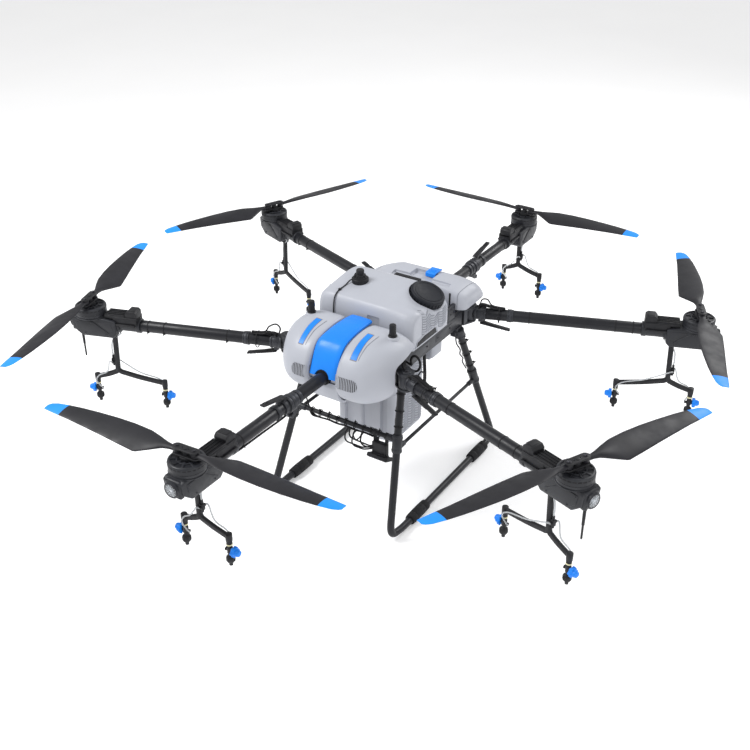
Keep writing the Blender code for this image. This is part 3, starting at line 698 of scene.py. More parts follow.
def make_controller(letter):
    """Speed controller riding on the tube: connector block inboard, finned cover outboard."""
    matrix, length = arm_frame(letter)
    case = Shape(matrix @ Matrix.Translation((length, 0, 0)))
    case.box((-0.196, -0.029, 0.004), (-0.100, 0.029, 0.040), 0.003)
    block = [
        (-0.196, 0.030), (-0.196, 0.058), (-0.188, 0.066), (-0.160, 0.066), (-0.150, 0.056), (-0.150, 0.030)
    ]
    case.plate(block, 1, -0.0245, 0.0245, 0.002)
    case.box((-0.190, -0.017, 0.064), (-0.164, 0.017, 0.0675), 0.001)
    for i in range(9):
        y = -0.024 + i * 0.006
        case.box((-0.149, y - 0.0012, 0.038), (-0.068, y + 0.0012, 0.0482 - 0.0015 * (i % 2)), 0.0005)
    case.box((-0.150, -0.0275, 0.030), (-0.066, 0.0275, 0.0435), 0.0015)
    for y in (-0.032, 0.032):
        case.box((-0.190, y - 0.004, 0.006), (-0.104, y + 0.004, 0.014), 0.0015)
        for x in (-0.178, -0.118):
            case.bolt((x, y, 0.014), Z, 0.0024, 0.0018)
    case.finish(f"controller_{letter}", "black", f"arm_{letter}")


def make_lamp(letter):
    """Position lamp on the pod's outer face: bezel, spoked reflector and lens."""
    matrix, length = arm_frame(letter)
    base = matrix @ Matrix.Translation((length + 0.0712, 0, -0.001))
    bezel = Shape(base)
    bezel.ring((0.003, 0, 0), X, 0.0225, 0.0275, 0.010, 48)
    bezel.ring((0.0075, 0, 0), X, 0.0215, 0.0250, 0.006, 48)
    bezel.finish(f"lamp_bezel_{letter}", "satin", f"arm_{letter}")
    bright = Shape(base)
    bright.turned(
        (-0.001, 0, 0), X,
        [(0, 0.0224), (0.002, 0.0224), (0.0022, 0.020), (0.0012, 0.010), (0.001, 0.004)], 40
    )
    for i in range(12):
        turn = Matrix.Rotation(math.radians(30 * i), 4, "X")
        bright.box((0.001, -0.0016, 0.007), (0.0075, 0.0016, 0.0215), 0.0006, turn)
    bright.turned((0, 0, 0), X, [(0, 0.0085), (0.006, 0.0085), (0.009, 0.006), (0.0100, 0.0)], 28)
    bright.finish(f"lamp_reflector_{letter}", "chrome", f"arm_{letter}")
    lens = Shape(base)
    lens.turned((0.0086, 0, 0), X, [(0, 0.0212), (0.001, 0.0212), (0.0022, 0.016), (0.0030, 0.0)], 40)
    lens.finish(f"lamp_lens_{letter}", "lens", f"arm_{letter}")


# ---------------------------------------------------------------- rotors and blades
def hub_frame(letter):
    """Matrix at the motor's axis, x along the line through the two blade pins."""
    blade_a, blade_b = ARMS[letter][:2]
    heading = (blade_a + blade_b - 180) / 2 + (180 if blade_a < blade_b else 0)
    hub = Vector(JOINTS[f"rotor_{letter}_spin"]["pos_m"])
    hub.z = ARM_Z
    return Matrix.Translation(hub) @ Matrix.Rotation(math.radians(heading), 4, "Z")


def make_bell(letter):
    """Motor bell with its ribs, and near-black patches of painted shade at its cooling slot openings."""
    bell = Shape(hub_frame(letter))
    profile = [
        (0.0352, 0.054), (0.0352, 0.0575), (0.0362, 0.0588), (0.0440, 0.0588), (0.0446, 0.0578),
        (0.0454, 0.0588), (0.0655, 0.0588), (0.0680, 0.0575), (0.0698, 0.0548),
        (0.0698, 0.0500), (0.0672, 0.0488), (0.0672, 0.018), (0.0790, 0.018), (0.0790, 0.008)
    ]
    bell.turned((0, 0, 0), Z, profile, 72)
    for i in range(9):
        turn = Matrix.Rotation(math.radians(40 * i + 12), 4, "Z")
        bell.box((0.015, -0.0034, 0.0660), (0.0505, 0.0034, 0.0702), 0.0010, turn)
    bell.ring((0, 0, 0.0690), Z, 0.0290, 0.0325, 0.0026, 48)
    bell.finish(f"bell_{letter}", "satin", f"rotor_{letter}", [f"rotor_{letter}"])
    # painted shade: near-black patches on the bell where the cooling slot openings would show shade
    slot_shades = Shape(hub_frame(letter))
    for i in range(24):
        turn = Matrix.Rotation(math.radians(15 * i), 4, "Z")
        slot_shades.box((0.0560, -0.0052, 0.0585), (0.0590, 0.0052, 0.0625), 0.0006, turn)
    slot_shades.finish(f"bell_slot_shades_{letter}", "rubber", f"rotor_{letter}")


def make_clamp(letter):
    """Two clamp plates that hold the folding blades, their pins and the centre screws."""
    clamp = Shape(hub_frame(letter))
    waist = []
    for sign in (-1, 1):
        for k in range(9):
            angle = math.radians(-90 + 180 * k / 8 + (0 if sign > 0 else 180))
            waist.append((sign * PIN_OFFSET + 0.0155 * math.cos(angle), 0.0155 * math.sin(angle)))
    clamp.plate(waist, 2, 0.0776, 0.0836, 0.0012)
    clamp.plate(waist, 2, 0.1004, 0.1056, 0.0012)
    clamp.rod((0, 0, 0.066), (0, 0, 0.080), 0.0205, 0.001, 32)
    clamp.rod((0, 0, 0.080), (0, 0, 0.102), 0.0105, 0.0005, 24)
    clamp.rod((0, 0, 0.1050), (0, 0, 0.1072), 0.0085, 0.0008, 24)
    clamp.finish(f"clamp_{letter}", "black", f"rotor_{letter}")
    pins = Shape(hub_frame(letter))
    for x in (-PIN_OFFSET, PIN_OFFSET):
        pins.rod((x, 0, 0.079), (x, 0, 0.106), 0.0040, 0.0005, 20)
        pins.turned((x, 0, 0.1055), Z, [(0, 0.0078), (0.0008, 0.0078), (0.0010, 0.0060)], 24)
        pins.turned((x, 0, 0.1062), Z, [(0, 0.0062), (0.0026, 0.0062), (0.0032, 0.0054)], 6)
    for x in (-0.012, 0.012):
        pins.bolt((x, 0, 0.1056), Z, 0.0026, 0.0022)
    pins.finish(f"clamp_pins_{letter}", "steel", f"rotor_{letter}")


# span from the pin, leading edge, trailing edge, half thickness, twist in degrees
BLADE_SECTIONS = [
    (0.000, 0.0110, -0.0110, 0.0068, 0.0),
    (0.022, 0.0112, -0.0112, 0.0066, 2.0),
    (0.045, 0.0150, -0.0160, 0.0062, 8.0),
    (0.080, 0.0250, -0.0380, 0.0056, 12.0),
    (0.120, 0.0345, -0.0610, 0.0050, 14.0),
    (0.190, 0.0405, -0.0540, 0.0044, 12.0),
    (0.260, 0.0415, -0.0460, 0.0038, 10.0),
    (0.330, 0.0385, -0.0385, 0.0033, 9.0),
    (0.400, 0.0335, -0.0310, 0.0028, 8.0),
    (0.448, 0.0275, -0.0275, 0.0024, 7.2),
    (0.490, 0.0200, -0.0240, 0.0020, 6.5),
    (0.506, 0.0120, -0.0225, 0.0017, 6.2),
    (0.513, 0.0040, -0.0210, 0.0014, 6.0),
]
TIP_START = 0.448
FOIL_POINTS = 22


def between(sections, span):
    """Section values at a span, eased between the two nearest stations."""
    for low, high in zip(sections, sections[1:]):
        if span <= high[0]:
            t = (span - low[0]) / (high[0] - low[0])
            return [a + (b - a) * t for a, b in zip(low, high)]
    return list(sections[-1])


def foil_ring(section, spin):
    """Cambered aerofoil outline of one blade section."""
    span, lead, trail, half, twist = section
    round_root = max(0.0, 1 - span / 0.06)
    angle = math.radians(twist)
    ring = []
    for k in range(FOIL_POINTS):
        turn = 2 * math.pi * k / FOIL_POINTS
        across = (1 + math.cos(turn)) / 2
        fullness = math.sqrt(max(across, 0.0)) * 0.35 + 0.65
        thick = half * math.sin(turn) * (round_root + (1 - round_root) * (0.55 + 0.45 * fullness))
        camber = half * 0.55 * (1 - round_root) * math.sin(math.pi * across)
        y = trail + (lead - trail) * across
        z = thick * 0.9 + camber
        turned_y = y * math.cos(angle) - z * math.sin(angle)
        ring.append(Vector((span, spin * turned_y, BLADE_Z + y * math.sin(angle) + z * math.cos(angle))))
    return ring


def blade_spans():
    spans = [0.004 * i for i in range(0, 12)]
    while spans[-1] < BLADE_SECTIONS[-1][0] - 0.012:
        spans.append(spans[-1] + 0.0101)
    spans = [s for s in spans if abs(s - TIP_START) > 0.004] + [TIP_START]
    spans += [0.506, 0.510, 0.513]
    return sorted(set(spans))


def make_blade(letter, tag):
    heading = ARMS[letter][0 if tag == "a" else 1]
    side = 1 if tag == "b" else -1
    pin = hub_frame(letter) @ Vector((side * PIN_OFFSET, 0, 0))
    matrix = Matrix.Translation(pin) @ Matrix.Rotation(math.radians(heading), 4, "Z")
    blade = Shape(matrix)
    blade.skin([foil_ring(between(BLADE_SECTIONS, span), ARMS[letter][2]) for span in blade_spans()])
    blade.rod((0, 0, 0.0846), (0, 0, 0.0996), 0.0125, 0.001, 36)
    inverse = matrix.inverted()
    for face in blade.mesh.faces:
        if (inverse @ face.calc_center_median()).x > TIP_START:
            face.material_index = 1
    body = f"blade_{letter}_{tag}"
    blade.finish(f"propeller_{letter}_{tag}", ["blade", "tip"], body, [body], 50)


# ---------------------------------------------------------------- latches
def make_latch(letter):
    """Over-centre lever that locks the fold joint."""
    matrix, _ = arm_frame(letter)
    side = ARMS[letter][3]
    start = 0.012 if folds_down(letter) else 0.040
    lever = Shape(matrix @ Matrix.Translation((start, 0, 0)))
    outline = [
        (0.0064, 0.0353), (0.0050, 0.0385), (0.0060, 0.0420), (0.012, 0.0445),
        (0.060, 0.053), (0.098, 0.0605), (0.122, 0.0652), (0.1245, 0.0630),
        (0.1225, 0.0575), (0.096, 0.0520), (0.060, 0.0445), (0.024, 0.0352)
    ]
    lever.plate([(x, side * z) for x, z in outline], 1, -0.0090, 0.0090, 0.0018)
    rail = [
        (0.0068, 0.0354), (0.0056, 0.0400), (0.0085, 0.0425), (0.050, 0.0505),
        (0.082, 0.0565), (0.082, 0.0525), (0.040, 0.0425), (0.020, 0.0354)
    ]
    for y in (-0.0100, 0.0100):
        lever.plate([(x, side * z) for x, z in rail], 1, y - 0.0012, y + 0.0012, 0.0006)
    for x in (0.092, 0.100, 0.108):
        low, high = sorted((side * (0.055 + (x - 0.092) * 0.25), side * (0.0612 + (x - 0.092) * 0.19)))
        lever.box((x - 0.0014, -0.0082, low), (x + 0.0014, 0.0082, high), 0.0006)
    lever.rod((0.008, -0.0125, side * 0.038), (0.008, 0.0125, side * 0.038), 0.0030, 0.0005, 16)
    lever.finish(f"lever_{letter}", "black", f"latch_{letter}", [f"latch_{letter}"])


# ---------------------------------------------------------------- nozzle booms
def beam(shape, points, half_wide, half_high, radius):
    """Bar of rounded rectangular section through the points."""
    path = [Vector(p) for p in points]
    rings = []
    for i, point in enumerate(path):
        ahead = (path[min(i + 1, len(path) - 1)] - path[max(i - 1, 0)]).normalized()
        side, up = side_axes(ahead)
        rings.append(rounded_box_ring(point, side, up, half_wide, half_high, radius))
    shape.skin(rings)


def make_nozzle(parts, end, knob):
    """Nozzle body with seal, side cap and spray head, hanging from a boom end."""
    black, blue, seal = parts
    x, y, top = end
    knob = Vector(knob)
    black.turned((x, y, top - 0.026), Z, [(0, 0.0088), (0.001, 0.0098), (0.010, 0.0098), (0.011, 0.0108),
                                          (0.034, 0.0108), (0.038, 0.0090), (0.0388, 0.004)], 28)
    seal.ring((x, y, top - 0.0285), Z, 0.006, 0.0104, 0.0046, 28)
    black.turned((x, y, top - 0.080), Z, [(0, 0.0070), (0.018, 0.0070), (0.019, 0.0095), (0.040, 0.0095),
                                          (0.041, 0.0080), (0.049, 0.0080)], 28)
    head = [
        (0, 0.0040), (0.0015, 0.0062), (0.014, 0.0068), (0.016, 0.0118),
        (0.019, 0.0134), (0.034, 0.0134), (0.037, 0.0118), (0.040, 0.0080)
    ]
    black.turned((x, y, top - 0.112), Z, head, 32)
    for i in range(10):
        turn = Matrix.Translation((x, y, 0)) @ Matrix.Rotation(math.radians(36 * i), 4, "Z")
        black.box((0.0126, -0.0016, top - 0.092), (0.0145, 0.0016, top - 0.078), 0.0005, turn)
    start = Vector((x, y, top - 0.052))
    black.rod(start, start + knob * 0.014, 0.0075, 0.0005, 24)
    profile = [
        (0.0112, 0.0105), (0.0120, 0.0148), (0.0235, 0.0152), (0.0250, 0.0125),
        (0.0325, 0.0120), (0.0338, 0.0102), (0.0375, 0.0098), (0.0390, 0.0065)
    ]
    blue.turned(start, knob, profile, 32)
    side, up = side_axes(knob)
    for i in range(6):
        angle = math.radians(60 * i)
        spoke = side * math.cos(angle) + up * math.sin(angle)
        blue.rod(
            start + knob * 0.0122 + spoke * 0.0142,
            start + knob * 0.0240 + spoke * 0.0142, 0.0046, 0.0008, 14
        )
    black.rod(start - knob * 0.006, start - knob * 0.017, 0.0048, 0.0006, 18)
    black.rod(start - knob * 0.013, start - knob * 0.0165, 0.0066, 0.0006, 18)


def make_boom(letter):
    """Forked boom under the pod, with its nozzles, valve and hoses."""
    matrix, length = arm_frame(letter)
    parts = [Shape(matrix) for _ in range(3)]
    black, blue, seal = parts
    if folds_down(letter):
        sense = 1 if letter == "A" else -1
        top = Vector((length - 0.030, 0, -0.0470))
        fork = Vector((length - 0.030, 0, -0.174))
        ends = [fork + Vector((0, -0.069 * sense, -0.024)), fork + Vector((0, 0.112 * sense, -0.026))]
        knobs = [(0, -sense, 0), (0, sense, 0)]
    else:
        top = Vector((length - 0.085, 0, -0.0470))
        fork = Vector((length - 0.078, 0, -0.220))
        ends = [Vector((length - 0.270, 0, -0.246)), Vector((length + 0.015, 0, -0.250))]
        knobs = [(-1, 0, 0), (1, 0, 0)]
    beam(black, [top, fork + Vector((0, 0, 0.004))], 0.0088, 0.0100, 0.0070)
    black.rod(top, top + Vector((0, 0, -0.010)), 0.0165, 0.0015, 32)
    for end in ends:
        knee = fork.lerp(end, 0.14) + Vector((0, 0, 0.004))
        path = spline(
            [
                fork + Vector((0, 0, 0.014)), fork.lerp(end, 0.06) + Vector((0, 0, 0.006)),
                knee, fork.lerp(end, 0.5), end
            ],
            4
        )
        beam(black, path, 0.0062, 0.0100, 0.0045)
        black.rod(end + Vector((0, 0, -0.012)), end + Vector((0, 0, 0.0125)), 0.0112, 0.0012, 28)
    for end, knob in zip(ends, knobs):
        make_nozzle(parts, end, knob)
    valve = fork + Vector((0, 0, 0.050))
    out = (ends[1] - fork).normalized()
    out.z = 0
    side = Vector((-out.y, out.x, 0)).normalized()
    base = valve + out * 0.014
    black.box(base - Vector((0.007, 0.007, 0.012)), base + Vector((0.007, 0.007, 0.012)), 0.002)
    black.rod(base - side * 0.014, base + side * 0.014, 0.0052, 0.0006, 18)
    black.rod(base + Vector((0, 0, 0.010)), base + Vector((0, 0, 0.026)), 0.0046, 0.0006, 18)
    black.rod(base + Vector((0, 0, -0.010)), base + Vector((0, 0, -0.020)), 0.0046, 0.0006, 18)
    black.finish(f"boom_{letter}", "black", f"arm_{letter}", [f"nozzle_boom_{letter}"])
    blue.finish(f"nozzle_caps_{letter}", "blue", f"arm_{letter}")
    seal.finish(f"nozzle_seals_{letter}", "ring", f"arm_{letter}")
    hose = Shape(matrix)
    feed = [
        base + Vector((0, 0, 0.024)), base + Vector((0, 0, 0.060)),
        top + out * 0.012 + Vector((0, 0, -0.030)),
        Vector((top.x - 0.030, 0.010, -0.040)), Vector((length - 0.115, 0.014, -0.034))
    ]
    hose.cord(feed, 0.0030)
    for end, knob in zip(ends, knobs):
        nipple = Vector((end.x, end.y, end.z - 0.052)) - Vector(knob) * 0.016
        lift = Vector((0, 0, 0.012))
        sign = 1 if (end - fork).dot(out) > 0 else -1
        route = [
            base + side * 0.012 * sign, base + side * 0.016 * sign + out * 0.012 * sign,
            fork.lerp(end, 0.45) + side * 0.010 * sign + lift * 1.4,
            fork.lerp(end, 0.85) + side * 0.012 * sign + lift * 0.6, end + side * 0.013 * sign - lift * 1.2,
            nipple + side * 0.005 * sign + Vector((0, 0, 0.004)), nipple
        ]
        hose.cord(route, 0.0026)
    hose.finish(f"hoses_{letter}", "hose", f"arm_{letter}")


def make_whip(letter):
    """Short antenna rod hanging from a pod."""
    matrix, length = arm_frame(letter)
    whip = Shape(matrix @ Matrix.Translation((length + 0.050, 0, 0)))
    profile = [
        (0, 0.0026), (0.002, 0.0034), (0.050, 0.0036), (0.055, 0.0048), (0.080, 0.0052), (0.118, 0.0052)
    ]
    whip.turned((0, 0, -0.160), Z, profile, 20)
    whip.rod((0, 0, -0.050), (0, 0, -0.030), 0.0075, 0.001, 20)
    whip.finish(f"whip_{letter}", "black", f"arm_{letter}")


def make_arms():
    for letter in ARMS:
        make_arm_tube(letter)
        make_arm_joint(letter)
        make_arm_wiring(letter)
        make_pod(letter)
        make_controller(letter)
        make_lamp(letter)
        make_bell(letter)
        make_clamp(letter)
        make_blade(letter, "a")
        make_blade(letter, "b")
        make_latch(letter)
        make_boom(letter)
    for letter in "BF":
        make_whip(letter)


# ---------------------------------------------------------------- landing gear
LEG_R = 0.014
SKID_X, SKID_Z = 0.275, 0.022
LEG_TOPS = (Vector((0.200, -0.245, 0.5985)), Vector((0.198, 0.176, 0.5985)))
LEG_BENDS = (Vector((0.268, -0.430, 0.030)), Vector((0.268, 0.385, 0.030)))
CROSSBAR_Z, BRACE_Z = 0.378, 0.345


def mirrored(sign):
    return Matrix.Scale(sign, 4, (1, 0, 0))


def leg_point(leg, height):
    top, bend = LEG_TOPS[leg], LEG_BENDS[leg]
    return top.lerp(bend, (top.z - height) / (top.z - bend.z))


def rounded_path(points, radius, steps=8):
    """Straight runs joined by round bends."""
    points = [Vector(p) for p in points]
    path = [points[0]]
    for before, corner, after in zip(points, points[1:], points[2:]):
        start = corner + (before - corner).normalized() * min(radius, (before - corner).length * 0.45)
        end = corner + (after - corner).normalized() * min(radius, (after - corner).length * 0.45)
        for i in range(steps + 1):
            t = i / steps
            path.append(start * (1 - t) ** 2 + corner * (2 * t * (1 - t)) + end * t ** 2)
    path.append(points[-1])
    return path


def make_landing_gear(side, sign):
    """One side's leg and skid tube, with its joints, rubber sleeves, leads and brace."""
    gear = Shape(mirrored(sign))
    front, rear = LEG_TOPS[0], LEG_TOPS[1]
    route = [front, LEG_BENDS[0], (SKID_X, -0.36, SKID_Z), (SKID_X, 0.31, SKID_Z), LEG_BENDS[1], rear]
    gear.cord(rounded_path(route, 0.05), LEG_R, 32, 1)
    gear.finish(f"leg_tubes_{side}", "carbon", "airframe", [f"landing_gear_{side}"])
    joints = Shape(mirrored(sign))
    for leg in (0, 1):
        along = (LEG_BENDS[leg] - LEG_TOPS[leg]).normalized()
        for height, half, radius in ((0.585, 0.020, 0.0190), (0.365, 0.034, 0.0185)):
            centre = leg_point(leg, height)
            joints.rod(centre - along * half, centre + along * half, radius, 0.002, 32)
            for end in (-half * 0.72, half * 0.72):
                joints.ring(centre + along * end, along, radius - 0.001, radius + 0.0014, 0.005, 32)
                joints.bolt(centre + along * end + X * (radius + 0.001), X, 0.0026, 0.0018)
        top = LEG_TOPS[leg]
        joints.box((top.x - 0.026, top.y - 0.022, 0.574), (top.x - 0.001, top.y + 0.022, 0.5984), 0.003)
        for y in (-0.014, 0.014):
            joints.bolt((top.x - 0.001, top.y + y, 0.586), X, 0.003, 0.0022)
        brace = leg_point(leg, BRACE_Z)
        inward = Y if leg == 0 else -Y
        joints.rod(brace + inward * 0.008, brace + inward * 0.052, 0.0095, 0.0015, 24)
        joints.bolt(brace + inward * 0.040 + Z * 0.0090, Z, 0.0024, 0.002)
    joints.finish(f"leg_joints_{side}", "satin", "airframe")
    sleeves = Shape(mirrored(sign))
    for y in (-0.30, 0.18):
        profile = [
            (0, LEG_R), (0.0005, 0.0190), (0.003, 0.0205), (0.024, 0.0216), (0.026, 0.0216),
            (0.028, 0.0204), (0.031, 0.0204), (0.033, 0.0218), (0.087, 0.0218), (0.089, 0.0204),
            (0.092, 0.0204), (0.094, 0.0216), (0.117, 0.0205), (0.1195, 0.0190), (0.12, LEG_R)
        ]
        sleeves.turned((SKID_X, y, SKID_Z), Y, profile, 36)
    sleeves.finish(f"skid_sleeves_{side}", "rubber", "airframe")
    ties = Shape(mirrored(sign))
    for leg in (0, 1):
        along = (LEG_BENDS[leg] - LEG_TOPS[leg]).normalized()
        for height in (0.540, 0.480, 0.425):
            head = Vector((0.7, -0.7 if leg == 0 else 0.7, 0.2))
            ties.tie(leg_point(leg, height), along, LEG_R + 0.0022, head)
        outward = Vector((-0.0165, 0.010 if leg == 0 else -0.010, 0))
        route = [
            leg_point(leg, h) + outward * (1.0 + 0.35 * (k % 2)) for k,
            h in enumerate((0.57, 0.53, 0.50, 0.475, 0.455, 0.435, 0.40))
        ]
        ties.cord(route, 0.0026)
    ties.finish(f"leg_wiring_{side}", "rubber", "airframe")
    brace = Shape()
    front, rear = leg_point(0, BRACE_Z), leg_point(1, BRACE_Z)
    start = Vector((sign * front.x, front.y + 0.0225, BRACE_Z))
    end = Vector((sign * rear.x, rear.y - 0.0225, BRACE_Z))
    brace.rod(start, end, 0.0068, 0.001, 28)
    brace.finish(f"brace_tube_{side}", "carbon", "airframe", [f"side_brace_{side}"])


def make_crossbar():
    """Bar between the front legs, with its end clamps and the leads tied along it."""
    end = leg_point(0, CROSSBAR_Z)
    reach = end.x - 0.0165
    bar = Shape()
    bar.rod((-reach, end.y, CROSSBAR_Z), (reach, end.y, CROSSBAR_Z), 0.009, 0.001, 32)
    bar.finish("crossbar_tube", "carbon", "airframe", ["front_crossbar"])
    trim = Shape()
    for sign in (-1, 1):
        trim.rod(
            (sign * (reach + 0.002), end.y, CROSSBAR_Z),
            (sign * (reach - 0.030), end.y, CROSSBAR_Z), 0.0125, 0.0015, 28
        )
        trim.bolt((sign * (reach - 0.014), end.y, CROSSBAR_Z + 0.0122), Z, 0.0024, 0.002)
    trim.finish("crossbar_ends", "satin", "airframe")
    wires = Shape()
    for k, x in enumerate((-0.150, -0.112, -0.072, -0.034, 0.004, 0.044, 0.082, 0.116, 0.150)):
        wires.tie((x, end.y, CROSSBAR_Z), X, 0.0122, Vector((0, -0.6 + 0.3 * (k % 3), 0.8)))
    for drop, spread, radius in ((0.0, 0.0, 0.0028), (0.003, 0.005, 0.0024), (-0.002, -0.006, 0.0022)):
        route = [
            (-0.190, end.y + 0.012 + spread, 0.455 + drop), (-0.178, end.y + 0.004, 0.415),
            (-0.150, end.y - 0.004 + spread, CROSSBAR_Z - 0.012)
        ]
        route += [
            (-0.150 + 0.04 * i, end.y - 0.008 + spread, CROSSBAR_Z - 0.0115 - drop - 0.003 * (i % 2))
            for i in range(1, 8)
        ]
        wires.cord(route, radius)
    hanging = [
        (0.018, 0.112, 0.318, -0.034), (0.026, 0.118, 0.326, -0.016),
        (0.052, 0.120, 0.314, -0.038), (0.082, 0.124, 0.322, -0.026)
    ]
    for x0, x1, low, forward in hanging:
        route = [
            (x0 + 0.006, end.y - 0.008, CROSSBAR_Z - 0.010),
            (x0, end.y + forward * 0.7, CROSSBAR_Z - 0.020), (x0, end.y + forward, low + 0.012),
            (x0 + 0.010, end.y + forward, low), (x1 - 0.020, end.y + forward * 0.8, low - 0.006),
            (x1, end.y - 0.016, low - 0.004), (x1 + 0.012, end.y - 0.010, low)
        ]
        wires.cord(rounded_path(route, 0.008, 4), 0.0030, 10, 1)
    route = [
        (0.052, end.y - 0.010, CROSSBAR_Z - 0.010),
        (0.050, end.y - 0.024, 0.352), (0.064, end.y - 0.028, 0.336),
        (0.078, end.y - 0.020, 0.350), (0.080, end.y - 0.009, CROSSBAR_Z - 0.010)
    ]
    wires.cord(route, 0.0026)
    wires.finish("crossbar_wiring", "rubber", "airframe")


def make_radar():
    """Terrain radar: a box under two clamps and a broad antenna plate that leans forward."""
    bar_y = leg_point(0, CROSSBAR_Z).y
    case = Shape()
    case.box((0.124, bar_y - 0.014, 0.286), (0.186, bar_y + 0.008, 0.344), 0.004)
    for x in (0.131, 0.181):
        case.box((x - 0.006, bar_y - 0.004, 0.338), (x + 0.006, bar_y + 0.004, 0.3690), 0.0015)
        case.bolt((x, bar_y - 0.004, 0.354), -Y, 0.0026, 0.002)
        case.ring((x, bar_y, CROSSBAR_Z), X, 0.0088, 0.0128, 0.012, 28)
    for i in range(5):
        z = 0.300 + 0.009 * i
        case.box((0.130, bar_y + 0.006, z - 0.0016), (0.180, bar_y + 0.0115, z + 0.0016), 0.0006)
    for x in (0.130, 0.180):
        case.bolt((x, bar_y - 0.014, 0.336), -Y, 0.0024, 0.0016)
    case.rod((0.140, bar_y + 0.004, 0.340), (0.140, bar_y + 0.004, 0.356), 0.0050, 0.001, 20)
    lean = Matrix.Translation((0.155, bar_y - 0.006, 0.282)) @ Matrix.Rotation(math.radians(-24), 4, "X")
    case.box((-0.044, -0.024, -0.0075), (0.044, 0.022, 0.0065), 0.0030, lean)
    case.box((-0.030, -0.014, 0.0050), (0.030, 0.014, 0.0110), 0.0020, lean)
    for x in (-0.039, 0.039):
        for y in (-0.019, 0.017):
            case.bolt(lean @ Vector((x, y, 0.0065)), lean.to_3x3() @ Z, 0.0022, 0.0014)
    case.finish("radar_case", "black", "airframe", ["terrain_radar"])
    face = Shape()
    face.box((-0.038, -0.020, -0.0092), (0.038, 0.018, -0.0070), 0.0007, lean)
    face.finish("radar_window", "satin", "airframe")


# ---------------------------------------------------------------- centre frame
# the two cheeks of a side arm's fork: their height over and under the tube, and half their thickness
CHEEK_LIFT, CHEEK_HALF = 0.0295, 0.0046
# distance of the fixed tubes' end faces from the centre, at the nose and tail
STUB_FACE = 0.6547


def hex_bolt(shape, place, direction, radius):
    shape.turned(
        place, direction, [(-0.001, radius * 1.4), (0.0008, radius * 1.4), (0.001, radius * 1.3)], 24
    )
    shape.turned(place, direction, [(0, radius), (0.0035, radius), (0.0042, radius * 0.85)], 6)


def make_fork(shape, bolts, pivot, root, sign):
    """Beam from the root out to a side arm's pivot, ending in two cheeks with their bolts."""
    centre = Vector((sign * abs(pivot.x), pivot.y, ARM_Z))
    base = Vector((sign * root[0], root[1], ARM_Z))
    out = (centre - base).normalized()
    side = Vector((-out.y, out.x, 0))
    beam(shape, [base, centre - out * 0.032], 0.023, 0.035, 0.005)
    for level in (-CHEEK_LIFT, CHEEK_LIFT):
        lift = Vector((0, 0, level))
        outline = []
        for k in range(17):
            angle = math.radians(-90 + 180 * k / 16)
            point = centre + out * (0.029 * math.cos(angle)) + side * (0.029 * math.sin(angle))
            outline.append((point.x, point.y))
        for across in (0.022, -0.022):
            point = base + side * across
            outline.append((point.x, point.y))
        shape.plate(outline, 2, ARM_Z + level - CHEEK_HALF, ARM_Z + level + CHEEK_HALF, 0.0015)
        away = 1 if level > 0 else -1
        tip = centre + lift + Z * (CHEEK_HALF * away)
        shape.turned(
            tip - Z * 0.001 * away, Z * away,
            [(0, 0.0165), (0.003, 0.0165), (0.0045, 0.0150), (0.0045, 0.0105)], 32
        )
        hex_bolt(bolts, tip + Z * (0.0030 * away), Z * away, 0.0068)
        for across in (-0.013, 0.013):
            spot = base.lerp(centre, 0.42) + side * across + lift + Z * (CHEEK_HALF * away)
            bolts.bolt(spot, Z * away, 0.0030, 0.0024)
    for k in range(3 if pivot.y < 0 else 0):
        spot = base + out * (0.012 + 0.014 * k) - side * 0.0235 * sign
        bolts.bolt(spot, -side * sign, 0.0028, 0.002)


def nose_stub(shape, sign):
    """Collars and hinge lugs of the fixed tube, at the nose for sign -1 and at the tail for 1."""
    beam_y = 0.27 if sign < 0 else 0.215
    face = STUB_FACE
    shape.rod((0, sign * (face - 0.016), ARM_Z), (0, sign * face, ARM_Z), 0.031, 0.0018, 48)
    shape.rod((0, sign * (face - 0.055), ARM_Z), (0, sign * (face - 0.040), ARM_Z), 0.0262, 0.0015, 48)
    shape.rod((0, sign * (face - 0.036), ARM_Z), (0, sign * (face - 0.014), ARM_Z), 0.0272, 0.0015, 48)
    shape.rod((0, sign * (beam_y - 0.006), ARM_Z), (0, sign * (beam_y + 0.040), ARM_Z), 0.0300, 0.002, 48)
    hinge_z = ARM_Z - HINGE_DROP
    for low, high in ((-0.021, -0.0115), (0.0115, 0.021)):
        shape.rod((low, sign * 0.655, hinge_z), (high, sign * 0.655, hinge_z), 0.0086, 0.0008, 28)
        lug = [
            (face - 0.034, ARM_Z - 0.022), (face - 0.001, ARM_Z - 0.022), (face - 0.001, hinge_z + 0.002),
            (face - 0.012, hinge_z - 0.006), (face - 0.018, hinge_z - 0.002)
        ]
        shape.plate([(sign * y, z) for y, z in lug], 0, low + 0.0004, high - 0.0004, 0.0015)


